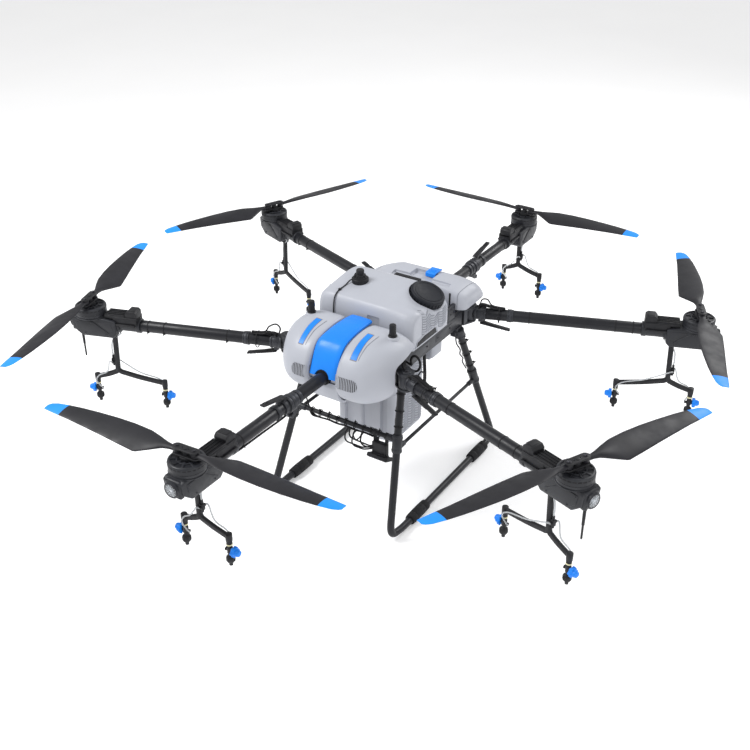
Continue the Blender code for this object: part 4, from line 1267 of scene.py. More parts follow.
def make_frame():
    body = Shape()
    bolts = Shape()
    body.box((-0.2, -0.287, 0.606), (0.2, -0.253, 0.662), 0.003)
    body.box((-0.187, 0.200, 0.606), (0.187, 0.235, 0.662), 0.003)
    body.box((-0.187, 0.060, 0.614), (0.187, 0.100, 0.640), 0.002)
    body.box((-0.187, -0.260, 0.650), (0.187, -0.202, 0.658), 0.001)
    for sign in (-1, 1):
        body.side_box(sign, (0.178, -0.262, 0.6066), (0.195, 0.205, 0.667), 0.0035)
        body.side_box(sign, (0.192, -0.200, 0.622), (0.1962, -0.050, 0.652))
        body.side_box(sign, (0.192, 0.000, 0.622), (0.1962, 0.120, 0.652))
        body.side_box(sign, (0.179, 0.0925, 0.657), (0.194, 0.1495, 0.722), 0.003)
        for top in LEG_TOPS:
            body.side_box(sign, (0.174, top.y - 0.020, 0.5989), (0.202, top.y + 0.020, 0.6128), 0.002)
        for y in (-0.185, -0.065, 0.015, 0.105):
            bolts.bolt((sign * 0.1962, y, 0.637), X * sign, 0.0034, 0.0024)
        for z in (0.690, 0.712):
            bolts.bolt((sign * 0.194, 0.113, z), X * sign, 0.0030, 0.002)
            bolts.bolt((sign * 0.194, 0.137, z), X * sign, 0.0030, 0.002)
        front, rear = [
            Vector(JOINTS[f"arm_{letter}_fold"]["pos_m"]) for letter in ("BC" if sign > 0 else "FE")
        ]
        make_fork(body, bolts, front, (0.183, -0.268), sign)
        make_fork(body, bolts, rear, (0.176, 0.221), sign)
        nose_stub(body, sign)
        for k in range(6):
            angle = math.radians(60 * k + 30)
            spot = Vector((0.0255 * math.cos(angle), sign * 0.6387, ARM_Z + 0.0255 * math.sin(angle)))
            bolts.bolt(spot, -Y * sign, 0.0022, 0.0018)
    body.finish("frame_body", "metal", "airframe", ["frame"])
    bolts.finish("frame_bolts", "steel", "airframe")
    tubes = Shape()
    for sign in (-1, 1):
        start = 0.262 if sign < 0 else 0.21
        tubes.rod((0, sign * start, ARM_Z), (0, sign * 0.650, ARM_Z), TUBE_R, 0.001, 56)
    tubes.finish("fixed_tubes", "carbon", "airframe")


def make_joint_wiring():
    """Cable loops that come out of the centre beside each side arm's fold joint."""
    wires = Shape()
    for letter in "BCEF":
        pivot = Vector(JOINTS[f"arm_{letter}_fold"]["pos_m"])
        side = 1 if pivot.x > 0 else -1
        back = 1 if letter in "BF" else -1
        inner = Vector((pivot.x - side * 0.062, pivot.y + back * 0.036, ARM_Z + 0.030))
        for k in range(3):
            lift = 0.020 + 0.008 * k
            spread = Vector((0, back * (0.006 * k - 0.004), 0))
            route = [
                inner + Vector((-side * 0.014, 0, -0.012)) + spread, inner + Vector((0, 0, lift)) + spread,
                inner + Vector((side * 0.028, -back * 0.010, lift + 0.006)) + spread,
                inner + Vector((side * 0.046, -back * 0.024, 0.012 + 0.003 * k)) + spread,
                Vector((pivot.x - side * 0.012, pivot.y + back * (0.006 + 0.005 * k), ARM_Z + 0.0375))
            ]
            wires.cord(route, 0.0046 - 0.0007 * k)
    for side in (-1, 1):
        centre = Vector((side * 0.245, -0.235, 0.6610))
        turns = [math.radians(-110 + 32 * k) for k in range(11)]
        loop = [
            centre + Vector((side * 0.021 * math.cos(a), -0.004 + 0.0012 * k, 0.029 * math.sin(a))) for k,
            a in enumerate(turns)
        ]
        wires.conduit(loop, 0.0046)
        tail = [
            loop[-1], loop[-1] + Vector((-side * 0.018, 0.006, 0.0)),
            loop[-1] + Vector((-side * 0.042, 0.010, 0.004))
        ]
        wires.cord(tail, 0.0040)
    wires.finish("joint_wiring", "rubber", "airframe")


# ---------------------------------------------------------------- front cover
# side outline of a lobe and of the bridge between the lobes, as (y, z) pairs
LOBE = [
    (-0.196, 0.640), (-0.198, 0.715), (-0.214, 0.754), (-0.262, 0.7665), (-0.320, 0.7650),
    (-0.372, 0.755), (-0.420, 0.731), (-0.452, 0.694), (-0.468, 0.648), (-0.464, 0.604),
    (-0.440, 0.568), (-0.402, 0.549), (-0.352, 0.545), (-0.300, 0.562), (-0.245, 0.594)
]
SPINE = [
    (-0.198, 0.650), (-0.199, 0.715), (-0.214, 0.745), (-0.260, 0.7525),
    (-0.320, 0.7515), (-0.384, 0.7395), (-0.411, 0.717), (-0.428, 0.685),
    (-0.4435, 0.650), (-0.440, 0.612), (-0.410, 0.590), (-0.350, 0.584), (-0.280, 0.600)
]
COVER_CENTRE = (-0.270, 0.655)
LOBE_INNER, LOBE_OUTER = 0.0575, 0.2384
OUTLINE = spline([(0, y, z) for y, z in LOBE], 7, closed=True)


def quarter(x, start, end):
    """Fall of a quarter ellipse from 0 at its start to 1 at its end."""
    share = min(1.0, max(0.0, (x - start) / (end - start)))
    return 1 - math.sqrt(1 - share * share)


def drawn_in(point, x, sign, shrink=0.0):
    """Point of the side outline, drawn in at the lobe's tight inner edge and its sweeping outer end."""
    cy, cz = COVER_CENTRE
    tight = 0.08 * quarter(LOBE_INNER + 0.020 - x, 0.0, 0.020)
    nose = 1 - shrink - tight - 0.91 * quarter(x, 0.108, LOBE_OUTER)
    height = 1 - shrink - tight - 0.68 * quarter(x, 0.135, LOBE_OUTER)
    blend = min(1.0, max(0.0, (cy + 0.02 - point.y) / 0.04))
    depth = nose * blend + (1 - shrink * 0.9) * (1 - blend)
    return Vector((sign * x, cy + (point.y - cy) * depth, cz + (point.z - cz) * height))


def lobe_stations():
    tight = [LOBE_INNER + 0.020 * (1 - math.cos(math.radians(90 * k / 7))) for k in range(8)]
    middle = [0.088 + 0.010 * k for k in range(3)]
    wide = [0.108 + (LOBE_OUTER - 0.108) * math.sin(math.radians(90 * k / 24)) for k in range(1, 25)]
    return tight + middle + wide


def lobe_skin(shape, sign, shrink=0.0, stations=None):
    rings = []
    for x in stations or lobe_stations():
        rings.append([drawn_in(p, x, sign, shrink) for p in OUTLINE])
    shape.skin(rings)


def lobe_point(sign, x, u):
    """Point of a lobe's outer surface; u runs round the outline from 0 to 1."""
    place = (u % 1.0) * len(OUTLINE)
    index = int(place)
    point = OUTLINE[index].lerp(OUTLINE[(index + 1) % len(OUTLINE)], place - index)
    return drawn_in(point, x, sign)


def lobe_normal(sign, x, u):
    centre = lobe_point(sign, x, u)
    along = lobe_point(sign, x, u + 0.004) - lobe_point(sign, x, u - 0.004)
    across = lobe_point(sign, x + 0.002, u) - lobe_point(sign, x - 0.002, u)
    normal = along.cross(across).normalized()
    away = centre - Vector((sign * 0.15, *COVER_CENTRE))
    return normal if normal.dot(away) > 0 else -normal


def u_of(y, z):
    """Outline parameter of the point nearest to (y, z)."""
    near = min(range(len(OUTLINE)), key=lambda i: (OUTLINE[i].y - y) ** 2 + (OUTLINE[i].z - z) ** 2)
    return near / len(OUTLINE)


def lobe_patch(shape, sign, edges, low, high, rows=16):
    """Strip laid on a lobe; edges gives (u, x start, x end) along it, low and high its depth and height."""
    rings = []
    for k in range(rows + 1):
        place = k / rows * (len(edges) - 1)
        index = min(int(place), len(edges) - 2)
        t = place - index
        u, x0, x1 = [a + (b - a) * t for a, b in zip(edges[index], edges[index + 1])]
        ring = []
        for height, order in ((high, range(5)), (low, range(4, -1, -1))):
            for i in order:
                x = x0 + (x1 - x0) * i / 4
                ring.append(lobe_point(sign, x, u) + lobe_normal(sign, x, u) * height)
        rings.append(ring)
    shape.skin(rings)


def cut_lobe(sign):
    """One lobe as a thin shell, open below, with the notch where the arm's fork comes out."""
    lobe = Shape()
    lobe_skin(lobe, sign)
    hollow = Shape()
    lobe_skin(hollow, sign, 0.05, [0.068, 0.090, 0.120, 0.150, 0.175, 0.195, 0.212, 0.222])
    lobe.cut(hollow)
    mouth = Shape()
    mouth.side_box(sign, (0.072, -0.388, 0.50), (0.176, -0.225, 0.620), 0.0)
    lobe.cut(mouth)
    notch = Shape()
    low, high = sorted((sign * 0.172, sign * 0.300))
    corner = rounded_path(
        [(0, -0.346, 0.40), (0, -0.346, 0.687), (0, -0.290, 0.702), (0, -0.150, 0.728)], 0.030, 6
    )
    notch.plate([(p.y, p.z) for p in corner] + [(-0.150, 0.40)], 0, low, high, 0.0)
    lobe.cut(notch)
    return lobe


def cut_spine():
    """Bridge between the lobes, with the opening for the nose tube and the chin under it."""
    spine = Shape()
    bridge = spline([(0, y, z) for y, z in SPINE], 6, closed=True)
    spine.skin([[Vector((x, p.y, p.z)) for p in bridge] for x in (-0.064, -0.03, 0.0, 0.03, 0.064)])
    inside = Shape()
    inside.box((-0.052, -0.418, 0.50), (0.052, -0.150, 0.690), 0.0)
    spine.cut(inside)
    opening = Shape()
    opening.rod((0, -0.52, ARM_Z), (0, -0.38, ARM_Z), 0.0305, 0.0, 40)
    spine.cut(opening)
    return spine


def merged(shapes):
    """One shape from several, each already in place."""
    whole = Shape()
    for shape in shapes:
        data = bpy.data.meshes.new("merged")
        shape.mesh.to_mesh(data)
        shape.mesh.free()
        whole.mesh.from_mesh(data)
        bpy.data.meshes.remove(data)
    return whole


def make_cover():
    cover = merged([cut_lobe(1), cut_lobe(-1), cut_spine()])
    cover.finish("cover_shell", "shell", "airframe", ["front_cover"], 42)
    chin = Shape()
    lower = [
        (-0.448, 0.618), (-0.452, 0.600), (-0.447, 0.570), (-0.434, 0.545), (-0.410, 0.526),
        (-0.376, 0.520), (-0.376, 0.530), (-0.406, 0.536), (-0.426, 0.553), (-0.437, 0.576), (-0.440, 0.604)
    ]
    chin.plate(lower, 0, -0.060, 0.060, 0.0015)
    chin.finish("cover_chin", "shell", "airframe")


def make_cover_trim():
    """Blue stripes, the slatted vent panels and the cover's seam. The dark strips round the stripes and along
    the seam, and the dark patch under the slats, are painted shade.
    """
    stripes, slit_shades, vent_shade_patches, slats = Shape(), Shape(), Shape(), Shape()
    upper, lower = u_of(-0.302, 0.763), u_of(-0.424, 0.729)
    for sign in (1, -1):
        edge = [(0.092, 0.114), (0.093, 0.115), (0.096, 0.119), (0.100, 0.123)]
        if sign < 0:
            edge = [(0.106, 0.128), (0.105, 0.127), (0.103, 0.123), (0.101, 0.119)]
        edges = [(upper + (lower - upper) * k / 3, a, b) for k, (a, b) in enumerate(edge)]
        lobe_patch(stripes, sign, edges, -0.001, 0.0014, 20)
        # painted shade: a dark strip round each stripe, and a dark line beside it for the slit
        rim = [(u, a - 0.0022, b + 0.0022) for u, a, b in edges]
        rim[0] = (upper - 0.006, *rim[0][1:])
        rim[-1] = (lower + 0.006, *rim[-1][1:])
        lobe_patch(slit_shades, sign, rim, -0.001, 0.0004, 20)
        if sign > 0:
            groove = [
                (upper - 0.004, 0.1335, 0.1365),
                (upper * 0.5 + lower * 0.5, 0.1270, 0.1300), (lower, 0.1290, 0.1310)
            ]
        else:
            groove = [
                (upper - 0.004, 0.0835, 0.0865),
                (upper * 0.5 + lower * 0.5, 0.0905, 0.0935), (lower, 0.0890, 0.0910)
            ]
        lobe_patch(slit_shades, sign, groove, -0.001, 0.0005, 20)
        outer = 0.144 if sign > 0 else 0.119
        top, bottom = u_of(-0.4645, 0.669), u_of(-0.467, 0.622)
        count = 14 if sign > 0 else 10
        for k in range(count):
            x = 0.0600 + (outer - 0.0600) * k / (count - 1)
            round_off = max(0.0, (k - count + 3.2) / 3.2) ** 2 * 0.35
            start, end = top + (bottom - top) * round_off * 0.9, bottom - (bottom - top) * round_off * 0.7
            lobe_patch(
                slats, sign, [(start, x - 0.0010, x + 0.0010), (end, x - 0.0010, x + 0.0010)],
                -0.001, 0.0016, 8
            )
        # painted shade: a dark patch under the slats, in place of the shade inside the vent openings
        shade = []
        for k in range(9):
            t = k / 8
            bulge = math.sqrt(max(0.0, 1 - (2 * t - 1) ** 2))
            shade.append(
                (top + (bottom - top) * t, 0.0572, 0.0572 + (outer + 0.004 - 0.0572) * (0.80 + 0.20 * bulge))
            )
        lobe_patch(vent_shade_patches, sign, shade, -0.001, 0.0008, 16)
    stripes.finish("cover_stripes", "blue", "airframe")
    slit_shades.finish("cover_slit_shades", "groove", "airframe")
    vent_shade_patches.finish("vent_shade_panels", "vent", "airframe")
    slats.finish("vent_slats", "shell", "airframe")


def make_strip():
    """Blue band over the nose, slightly crowned, with turned-down edges."""
    line = [
        (-0.204, 0.7635), (-0.240, 0.7655), (-0.300, 0.7655), (-0.350, 0.7605), (-0.386, 0.7525),
        (-0.404, 0.7425), (-0.420, 0.7240), (-0.436, 0.6940), (-0.4525, 0.6560), (-0.4585, 0.6400)
    ]
    path = spline([(0, y, z) for y, z in line], 6)
    strip = Shape()
    rings = []
    for i, point in enumerate(path):
        ahead = (path[min(i + 1, len(path) - 1)] - path[max(i - 1, 0)]).normalized()
        out = Vector((0, ahead.z, -ahead.y))
        out = out if out.z > 0 or out.y < 0 else -out
        share = i / (len(path) - 1)
        wide = 0.0455 + 0.0085 * min(1.0, share / 0.55)
        ring = []
        for k in range(13):
            across = -1 + 2 * k / 12
            crown = 0.0022 * (1 - across * across) - 0.0030 * max(0.0, abs(across) - 0.86) / 0.14
            ring.append(point + X * (across * wide) + out * crown)
        for across in (1.0, 0.6, -0.6, -1.0):
            ring.append(point + X * (across * (wide + 0.0003)) - out * 0.0105)
        rings.append(ring)
    strip.skin(rings)
    arch = Shape()
    arch.rod((0, -0.52, ARM_Z), (0, -0.40, ARM_Z), 0.0312, 0.0, 48)
    strip.cut(arch)
    strip.finish("nose_strip", "blue", "airframe", ["center_strip"], 42)
    grommet = Shape()
    grommet.ring((0, -0.438, ARM_Z), Y, 0.0232, 0.0292, 0.030, 48)
    grommet.finish("nose_grommet", "rubber", "airframe")


def make_antenna(side, sign):
    """Stub antenna on a lobe, with the collar it stands in."""
    x, y = sign * 0.173, -0.270
    mast = Shape()
    profile = [
        (0.7645, 0.0160), (0.7700, 0.0160), (0.7708, 0.0150), (0.7708, 0.0122),
        (0.8085, 0.0122), (0.8112, 0.0112), (0.8120, 0.0095), (0.8120, 0.0)
    ]
    mast.turned((x, y, 0), Z, profile, 40)
    for z in (0.776, 0.780):
        mast.ring((x, y, z), Z, 0.0118, 0.0127, 0.0016, 36)
    mast.finish(f"antenna_mast_{side}", "black", "airframe", [f"antenna_{side}"])
    collar = Shape()
    collar.turned(
        (x, y, 0.7440), Z,
        [(0, 0.0225), (0.016, 0.0225), (0.0205, 0.0212), (0.0222, 0.0195), (0.0222, 0.0165)], 48
    )
    collar.finish(f"antenna_collar_{side}", "shell", "airframe")


def make_controller_box():
    box = Shape()
    box.box((-0.045, -0.2525, 0.6583), (0.045, -0.206, 0.679), 0.003)
    for i in range(5):
        box.box((-0.036 + 0.016 * i, -0.2535, 0.664), (-0.028 + 0.016 * i, -0.2500, 0.673), 0.0008)
    for x in (-0.038, 0.038):
        box.bolt((x, -0.229, 0.679), Z, 0.0024, 0.0018)
    box.finish("autopilot_case", "black", "airframe", ["flight_controller"])


# ---------------------------------------------------------------- tank and what sits on it
TANK_SIDE = [
    (-0.186, 0.6675), (-0.186, 0.720), (-0.1840, 0.7600), (-0.1790, 0.7860),
    (-0.1710, 0.8010), (-0.1620, 0.8085), (-0.146, 0.8135), (-0.120, 0.8170),
    (-0.090, 0.8210), (-0.055, 0.8255), (-0.018, 0.8295), (0.020, 0.8308),
    (0.050, 0.8265), (0.072, 0.8140), (0.086, 0.7930), (0.0895, 0.7600), (0.0895, 0.6675)
]
TANK_HALF = 0.200
TANK_BASE = 0.6674
TANK_MIDDLE = -0.048
CAP_DEPTH = 0.034


def tank_profile():
    curve = spline([(0, y, z) for y, z in TANK_SIDE], 5)
    floor = [Vector((0, 0.0895 - (0.0895 + 0.186) * k / 8, TANK_BASE)) for k in range(1, 8)]
    return curve + floor


def tank_ring(profile, x):
    """Side profile at x: a tight round shoulder at the right end, a long slope under the cap at the left."""
    slope = 0.0
    if x < 0:
        lower = 0.15 * quarter(-x, 0.158, TANK_HALF + 0.0046)
        inward = 0.06 * quarter(-x, 0.184, TANK_HALF + 0.0046)
    else:
        slope = max(0.0, x - 0.085) * math.tan(math.radians(22.4)) / 0.1707
        lower = 0.14 * quarter(x, 0.166, TANK_HALF + 0.0006)
        inward = 0.13 * quarter(x, 0.160, TANK_HALF + 0.0006)
    ring = []
    for p in profile:
        share = min(1.0, max(0.0, (p.y + 0.146) / 0.080))
        share = share * share * (3 - 2 * share)
        height = 1 - lower - slope * (0.22 + 0.78 * share)
        ring.append(
            Vector(
                (x, TANK_MIDDLE + (p.y - TANK_MIDDLE) * (1 - inward), TANK_BASE + (p.z - TANK_BASE) * height)
            )
        )
    return ring


def tank_end(profile, x, sign):
    """Flat side face, closed towards its middle."""
    rim = tank_ring(profile, x)
    rings = []
    centre = Vector((x, TANK_MIDDLE, TANK_BASE))
    for k, swell in ((0.10, 0.0004), (0.35, 0.0008), (0.70, 0.0010), (0.97, 0.0010)):
        rings.append([p.lerp(centre, k) + X * (sign * swell) for p in rim])
    return rings


def make_tank_top():
    """Makes the upper tank, cut for the cap's seat and the pocket; returns a search tree of its surface."""
    profile = tank_profile()
    stations = [0.085 + 0.012 * k for k in range(1, 7)]
    stations += [0.157 + 0.043 * math.sin(math.radians(90 * k / 10)) for k in range(1, 11)]
    left = [-0.125] + [-0.150 - 0.054 * math.sin(math.radians(90 * k / 14)) for k in range(1, 15)]
    xs = sorted(left) + [-0.08, -0.03, 0.03, 0.07, 0.085] + stations
    tank = Shape()
    rings = [tank_ring(profile, x) for x in xs]
    tank.skin(tank_end(profile, xs[0], -1)[::-1] + rings + tank_end(profile, xs[-1], 1))
    neck = cap_matrix()
    seat = Shape()
    seat.rod(neck @ Vector((0, 0, -0.0315)), neck @ Vector((0, 0, 0.05)), 0.0705, 0.0, 64)
    tank.cut(seat)
    pocket = Shape()
    pocket.box((0.010, -0.200, 0.700), (0.063, -0.1795, 0.7680), 0.004)
    tank.cut(pocket)
    boss = Shape(neck)
    boss.turned(
        (0, 0, -0.074), Z,
        [(0, 0.060), (0.030, 0.0600), (0.0395, 0.0615), (0.0397, 0.0605), (0.0397, 0.040)], 64
    )
    boss.ring((0, 0, -0.0325), Z, 0.060, 0.0735, 0.0030, 64)
    whole = merged([tank, boss])
    tree = BVHTree.FromBMesh(whole.mesh)
    whole.finish("tank_top", "shell", "tank", ["tank"], 40)
    return tree


def flute(x):
    """Depth of the three upright channels in the lower tank's front face."""
    depth = 0.0
    for centre, half in ((0.010, 0.025), (-0.072, 0.020), (0.085, 0.016)):
        edge = abs(x - centre) - half
        depth = max(depth, 0.014 * min(1.0, max(0.0, -edge / 0.005)))
    return depth


def lower_tank_ring(z, inset):
    ring = []
    x_half, y_front, y_back, radius = 0.127 - inset, -0.188 + inset, 0.042 - inset, max(0.004, 0.026 - inset)
    for cx, cy, start in ((x_half - radius, y_front + radius, -90), (x_half - radius, y_back - radius, 0),
                          (radius - x_half, y_back - radius, 90), (radius - x_half, y_front + radius, 180)):
        for k in range(7):
            angle = math.radians(start + 90 * k / 6)
            ring.append(Vector((cx + radius * math.cos(angle), cy + radius * math.sin(angle), z)))
    count = 44
    for k in range(1, count):
        x = (radius - x_half) + (2 * (x_half - radius)) * k / count
        ring.append(Vector((x, y_front + flute(x) * (1 if z > 0.262 else 0.2), z)))
    return ring


def make_tank_body():
    body = Shape()
    rings = []
    for k in range(6):
        t = math.sin(math.radians(90 * k / 5))
        rings.append(
            lower_tank_ring(0.240 + 0.022 * (1 - math.cos(math.radians(90 * k / 5))), 0.022 * (1 - t))
        )
    rings += [lower_tank_ring(z, 0.0) for z in (0.264, 0.30, 0.36, 0.44, 0.52, 0.60, 0.664)]
    body.skin(rings)
    body.finish("tank_body", "shell", "tank", (), 40)
    seam = Shape()
    seam.skin(
        [
            lower_tank_ring(z, inset) for z,
            inset in ((0.4550, 0.001), (0.4555, -0.0012), (0.4585, -0.0012), (0.4590, 0.001))
        ]
    )
    seam.finish("tank_seam", "shell", "tank")


def side_row(tree, sign, y, z, tilt):
    """Three points of one slanting row on the tank's side, or none where the filler cap or the grip is."""
    points = []
    for share in (0.0, 0.5, 1.0):
        start = Vector((sign * 0.32, y + 0.0272 * share, z + tilt * (2 * share - 1)))
        points.append(tree.ray_cast(start, X * -sign)[0])
    if None in points or min(abs(p.x) for p in points) < 0.160:
        return None
    axis = cap_matrix()
    spots = [axis.inverted() @ p for p in points]
    near_cap = any(spot.to_2d().length < 0.076 and spot.z > -0.046 for spot in spots)
    behind_grip = y < 0.0 and z < 0.705
    return None if near_cap or behind_grip else points


def side_ribs(ribs, furrow_shades, tree, sign):
    """Slanting ribs over the rounded side of the upper tank, with a thin dark cord of painted shade in each
    furrow between them.
    """
    pitch = 0.0100
    for c in range(6):
        y = -0.1148 + 0.030 * c
        tilt = 0.0050 if c % 2 else -0.0050
        for r in range(12):
            for shape, drop, radius in ((ribs, 0.0, 0.0023), (furrow_shades, pitch / 2, 0.0011)):
                points = side_row(tree, sign, y, 0.690 + pitch * r - drop, tilt)
                if points:
                    shape.cord([p + X * (sign * 0.0002) for p in points], radius, 8, 1)


def make_tank_ribs(tree):
    """Ribs of the tank's side faces with dark cords of painted shade between them, then its grips and their
    rims.
    """
    ribs, furrow_shades = Shape(), Shape()
    pitch = 0.0115
    for sign in (-1, 1):
        side_ribs(ribs, furrow_shades, tree, sign)
        for z0, z1 in ((0.270, 0.440), (0.470, 0.585)):
            for c in range(6):
                y = -0.134 + 0.0262 * c
                tilt = 0.0050 if c % 2 else -0.0050
                for r in range(int((z1 - z0) / pitch)):
                    z = z0 + pitch * r
                    a, b = Vector((sign * 0.1270, y + 0.001, z - tilt)), Vector(
                        (sign * 0.1270, y + 0.0252, z + tilt)
                    )
                    ribs.cord([a, b], 0.0028, 8, 1)
                    # each furrow is a thin dark cord of painted shade between two ribs
                    drop = Vector((-sign * 0.0004, 0, -pitch / 2))
                    furrow_shades.cord([a + drop, b + drop], 0.0013, 6, 1)
    ribs.finish("tank_ribs", "shell", "tank")
    furrow_shades.finish("tank_furrow_shades", "groove", "tank")
    grip = Shape()
    outline = [(-0.150, 0.6720), (-0.143, 0.6900), (-0.095, 0.6985), (-0.016, 0.6985), (-0.004, 0.6720)]
    for sign in (-1, 1):
        low, high = sorted((sign * 0.190, sign * 0.2013))
        grip.plate(outline, 0, low, high, 0.0012)
    grip.finish("tank_grips", "black", "tank")
    rim = Shape()
    for sign in (-1, 1):
        corners = [(-0.158, 0.670), (-0.148, 0.6945), (-0.096, 0.7030), (-0.012, 0.7030), (0.002, 0.670)]
        rim.cord(rounded_path([(sign * 0.2012, y, z) for y, z in corners], 0.008, 5), 0.0022, 10, 1)
    rim.finish("tank_grip_rims", "shell", "tank")


def cap_matrix():
    """Frame at the middle of the cap's face, z along its axis."""
    axis = Vector(JOINTS["tank_cap_unscrew"]["axis"])
    low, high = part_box("tank_cap")
    centre = (low + high) / 2 + axis * (CAP_DEPTH / 2)
    return Matrix.Translation(centre) @ Matrix.Rotation(math.atan2(axis.x, axis.z), 4, "Y")


def make_cap():
    """Filler cap with its fluted edge and three larger lugs."""
    cap = Shape(cap_matrix())
    profile = [
        (-0.0310, 0.0590), (-0.0310, 0.0630), (-0.0295, 0.0645), (-0.0100, 0.0645),
        (-0.0090, 0.0658), (-0.0048, 0.0658), (-0.0018, 0.0640), (-0.0002, 0.0608),
        (0.0, 0.0580), (-0.0012, 0.0560), (-0.0012, 0.0)
    ]
    cap.turned((0, 0, 0), Z, profile, 96)
    for i in range(30):
        turn = Matrix.Rotation(math.radians(12 * i), 4, "Z")
        cap.box((0.0630, -0.0026, -0.0292), (0.0668, 0.0026, -0.0102), 0.0010, turn)
    for i in (0, 10, 20):
        turn = Matrix.Rotation(math.radians(12 * i - 66), 4, "Z")
        cap.box((0.0620, -0.0075, -0.0300), (0.0705, 0.0075, -0.0190), 0.0020, turn)
    cap.ring((0, 0, -0.0008), Z, 0.0500, 0.0512, 0.0014, 72)
    cap.finish("filler_cap", "cap", "tank_cap", ["tank_cap"])


def make_sensor():
    """Level sensor on the tank's top, with its screws and the lead over the tank's front edge."""
    x, y, floor = -0.100, -0.060, 0.8295
    sensor = Shape()
    profile = [
        (-0.014, 0.0320), (0.0075, 0.0320), (0.0090, 0.0308), (0.0095, 0.0265),
        (0.0135, 0.0255), (0.0145, 0.0215), (0.0225, 0.0185), (0.0245, 0.0140),
        (0.0290, 0.0138), (0.0300, 0.0152), (0.0395, 0.0150), (0.0425, 0.0130), (0.0425, 0.0)
    ]
    sensor.turned((x, y, floor), Z, profile, 48)
    for i in range(12):
        turn = Matrix.Translation((x, y, floor)) @ Matrix.Rotation(math.radians(30 * i), 4, "Z")
        sensor.box((0.0180, -0.0022, 0.0135), (0.0212, 0.0022, 0.0225), 0.0008, turn)
    for i in range(6):
        angle = math.radians(60 * i + 30)
        sensor.bolt(
            (x + 0.0262 * math.cos(angle), y + 0.0262 * math.sin(angle), floor + 0.0052), Z, 0.0020, 0.0014
        )
    route = [
        (x - 0.018, y - 0.012, floor + 0.008), (x - 0.028, y - 0.028, floor + 0.001),
        (-0.132, -0.110, 0.8205), (-0.134, -0.145, 0.8160), (-0.134, -0.162, 0.8120),
        (-0.134, -0.176, 0.8020), (-0.134, -0.184, 0.7850),
        (-0.134, -0.1885, 0.7500), (-0.134, -0.1885, 0.700)
    ]
    sensor.cord(route, 0.0024)
    sensor.box((-0.1385, -0.150, 0.8120), (-0.1295, -0.140, 0.8205), 0.0015)
    sensor.finish("tank_sensor", "black", "tank", ["level_sensor"])


# ---------------------------------------------------------------- battery and pump
BATTERY_SIDE = [
    (0.1525, 0.6935), (0.1525, 0.742), (0.1545, 0.761), (0.162, 0.7715),
    (0.180, 0.7760), (0.205, 0.7775), (0.240, 0.7775), (0.275, 0.7720), (0.305, 0.7560),
    (0.326, 0.7310), (0.3345, 0.7090), (0.328, 0.6965), (0.305, 0.6930)
]
BATTERY_HALF = 0.2262
BATTERY_MIDDLE, BATTERY_BASE = 0.245, 0.693


def battery_ring(profile, x, grow=0.0):
    """Side profile at x; it falls off towards both ends, more at the right one."""
    fall = 0.56 * quarter(x, 0.115, BATTERY_HALF + 0.0006)
    if x < -0.110:
        fall = 0.60 * ((-x - 0.110) / 0.1185) ** 1.3
    height = 1 - fall + grow / 0.08
    depth = 1 - 0.32 * quarter(abs(x), 0.176, BATTERY_HALF + 0.0006) + grow / 0.09
    ring = []
    for p in profile:
        y = BATTERY_MIDDLE + (p.y - BATTERY_MIDDLE) * depth
        ring.append(Vector((x, y, BATTERY_BASE + (p.z - BATTERY_BASE) * height)))
    return ring


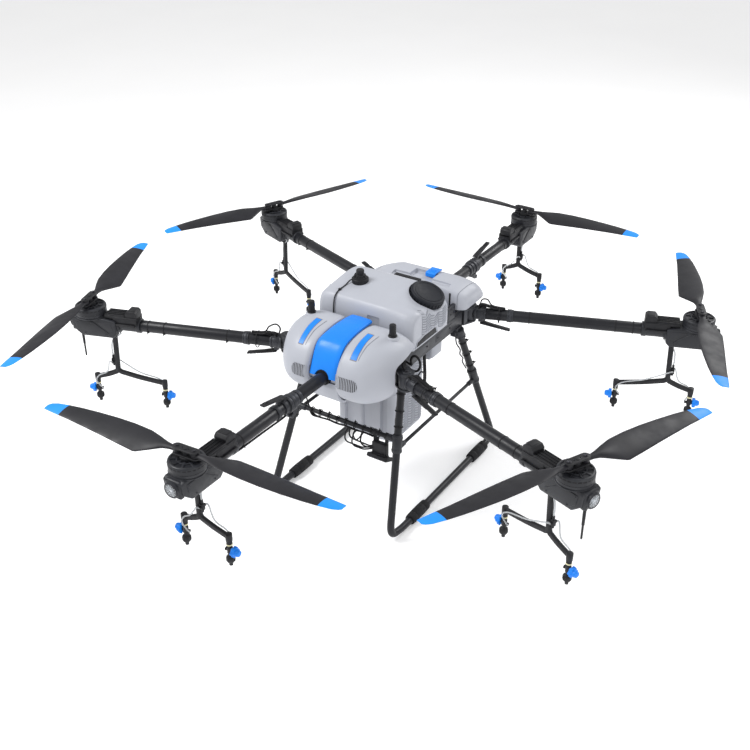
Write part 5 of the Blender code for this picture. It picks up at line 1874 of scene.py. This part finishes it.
def make_battery():
    """Battery shell with its ledge and latch pocket, the body that reaches down, straps and contacts."""
    profile = spline([(0, y, z) for y, z in BATTERY_SIDE], 6) + [
        Vector((0, y, BATTERY_BASE)) for y in (0.265, 0.225, 0.185)
    ]
    half = [0.1149] + [
        0.115 + (BATTERY_HALF - 0.115) * math.sin(math.radians(90 * k / 22)) for k in range(1, 23)
    ]
    xs = [-x for x in half[::-1]] + [-0.06, 0.0, 0.06] + half
    ends = []
    for x, sign in ((xs[0], -1), (xs[-1], 1)):
        rim = battery_ring(profile, x)
        centre = Vector((x, BATTERY_MIDDLE, 0.708))
        ends.append(
            [
                [p.lerp(centre, k) + X * (sign * swell) for p in rim] for k,
                swell in ((0.4, 0.0003), (0.95, 0.0004))
            ]
        )
    shell = Shape()
    shell.skin(ends[0][::-1] + [battery_ring(profile, x) for x in xs] + ends[1])
    for low, high in (
        ((-0.101, 0.130, 0.7670), (0.150, 0.190, 0.830)), ((-0.034, 0.180, 0.7640), (0.066, 0.2425, 0.830))
    ):
        tool = Shape()
        tool.box(low, high, 0.004)
        shell.cut(tool)
    lower = Shape()
    lower.box((-0.118, 0.116, 0.470), (0.118, 0.196, 0.735), 0.010)
    for x in (-0.080, 0.080):
        lower.box((x - 0.018, 0.130, 0.456), (x + 0.018, 0.160, 0.480), 0.003)
    for x in (-0.072, -0.024, 0.024, 0.072):
        lower.box((x - 0.008, 0.190, 0.500), (x + 0.008, 0.1985, 0.670), 0.003)
    merged([shell, lower]).finish("battery_shell", "shell", "battery", ["battery"], 40)
    trim = Shape()
    for x in (0.165, -0.165):
        trim.box((x - 0.0032, 0.1508, 0.700), (x + 0.0032, 0.1570, 0.7560), 0.0008)
    for x in (-0.060, 0.0, 0.060):
        trim.box((x - 0.012, 0.1145, 0.520), (x + 0.012, 0.1180, 0.560), 0.001)
    # a thin black line along the inner corner of the ledge, from x 0.072 to 0.149
    trim.box((0.072, 0.1885, 0.7665), (0.149, 0.1912, 0.7680), 0.0004)
    trim.box((-0.082, 0.1500, 0.7560), (0.030, 0.1690, 0.7765), 0.0012)
    trim.finish("battery_straps", "black", "battery")
    # painted shade: a darker grey band round the shell where its seam line lies
    seams = Shape()
    for side in (-1, 1):
        band = []
        for shift, grow in ((-0.0012, -0.0006), (-0.0010, 0.0005), (0.0010, 0.0005), (0.0012, -0.0006)):
            band.append(battery_ring(profile, side * 0.196 + shift, grow))
        seams.skin(band)
    seams.finish("battery_seams", "groove", "battery")
    terminal = Shape()
    terminal.box((-0.100, 0.1135, 0.690), (0.100, 0.1535, 0.7015), 0.003)
    for x in (-0.06, -0.02, 0.02, 0.06):
        terminal.bolt((x, 0.1135, 0.6955), -Y, 0.0026, 0.0015)
    terminal.finish("battery_contacts", "black", "battery")


def make_battery_latch():
    latch = Shape()
    outline = [
        (0.2152, 0.7672), (0.2152, 0.7805), (0.2165, 0.7835), (0.2205, 0.7855), (0.2610, 0.7862),
        (0.2710, 0.7842), (0.2720, 0.7795), (0.2280, 0.7795), (0.2225, 0.7770), (0.2215, 0.7672)
    ]
    latch.plate(outline, 0, 0.0202, 0.0618, 0.0010)
    for y in (0.230, 0.238, 0.246):
        latch.box((0.027, y - 0.0015, 0.7845), (0.055, y + 0.0015, 0.7872), 0.0007)
    latch.rod((0.0185, 0.2700, 0.7820), (0.0635, 0.2700, 0.7820), 0.0030, 0.0006, 20)
    latch.finish("latch_blue", "blue", "battery_latch", ["battery_latch"])


def make_pump():
    """Pump and motor behind the lower tank, their hanger and hoses."""
    pump = Shape()
    pump.rod((-0.100, 0.070, 0.315), (-0.036, 0.070, 0.315), 0.0240, 0.003, 40)
    pump.rod((0.036, 0.070, 0.315), (0.130, 0.070, 0.315), 0.0235, 0.003, 40)
    pump.box((-0.036, 0.048, 0.290), (0.036, 0.100, 0.370), 0.005)
    for x in (-0.086, -0.072, -0.058, 0.054, 0.070, 0.086, 0.102):
        pump.ring((x, 0.070, 0.315), X, 0.0225, 0.0252, 0.0040, 40)
    pump.box((-0.015, 0.066, 0.360), (0.015, 0.086, 0.6137), 0.003)
    for x in (-0.026, 0.026):
        for z in (0.300, 0.360):
            pump.bolt((x, 0.100, z), Y, 0.0034, 0.0026)
    pump.finish("pump_body", "black", "airframe", ["pump"])
    hoses = Shape()
    for x, bend in ((-0.096, -0.020), (0.098, 0.012)):
        route = [
            (x * 0.92, 0.070, 0.316), (x * 1.06, 0.072, 0.330), (x * 1.08, 0.080 + bend * 0.2, 0.400),
            (x * 1.02, 0.084, 0.500), (x * 0.98, 0.082, 0.580), (x * 0.96, 0.080, 0.618)
        ]
        hoses.cord(route, 0.0068, 16, 8)
    hoses.finish("pump_hoses", "rubber", "airframe")


def make_airframe():
    for side, sign in (("left", 1), ("right", -1)):
        make_landing_gear(side, sign)
        make_antenna(side, sign)
    make_crossbar()
    make_radar()
    make_frame()
    make_joint_wiring()
    make_cover()
    make_cover_trim()
    make_strip()
    make_controller_box()
    tank_surface = make_tank_top()
    make_tank_body()
    make_tank_ribs(tank_surface)
    make_cap()
    make_sensor()
    make_battery()
    make_battery_latch()
    make_pump()


add_camera()
add_studio()
make_arms()
make_airframe()
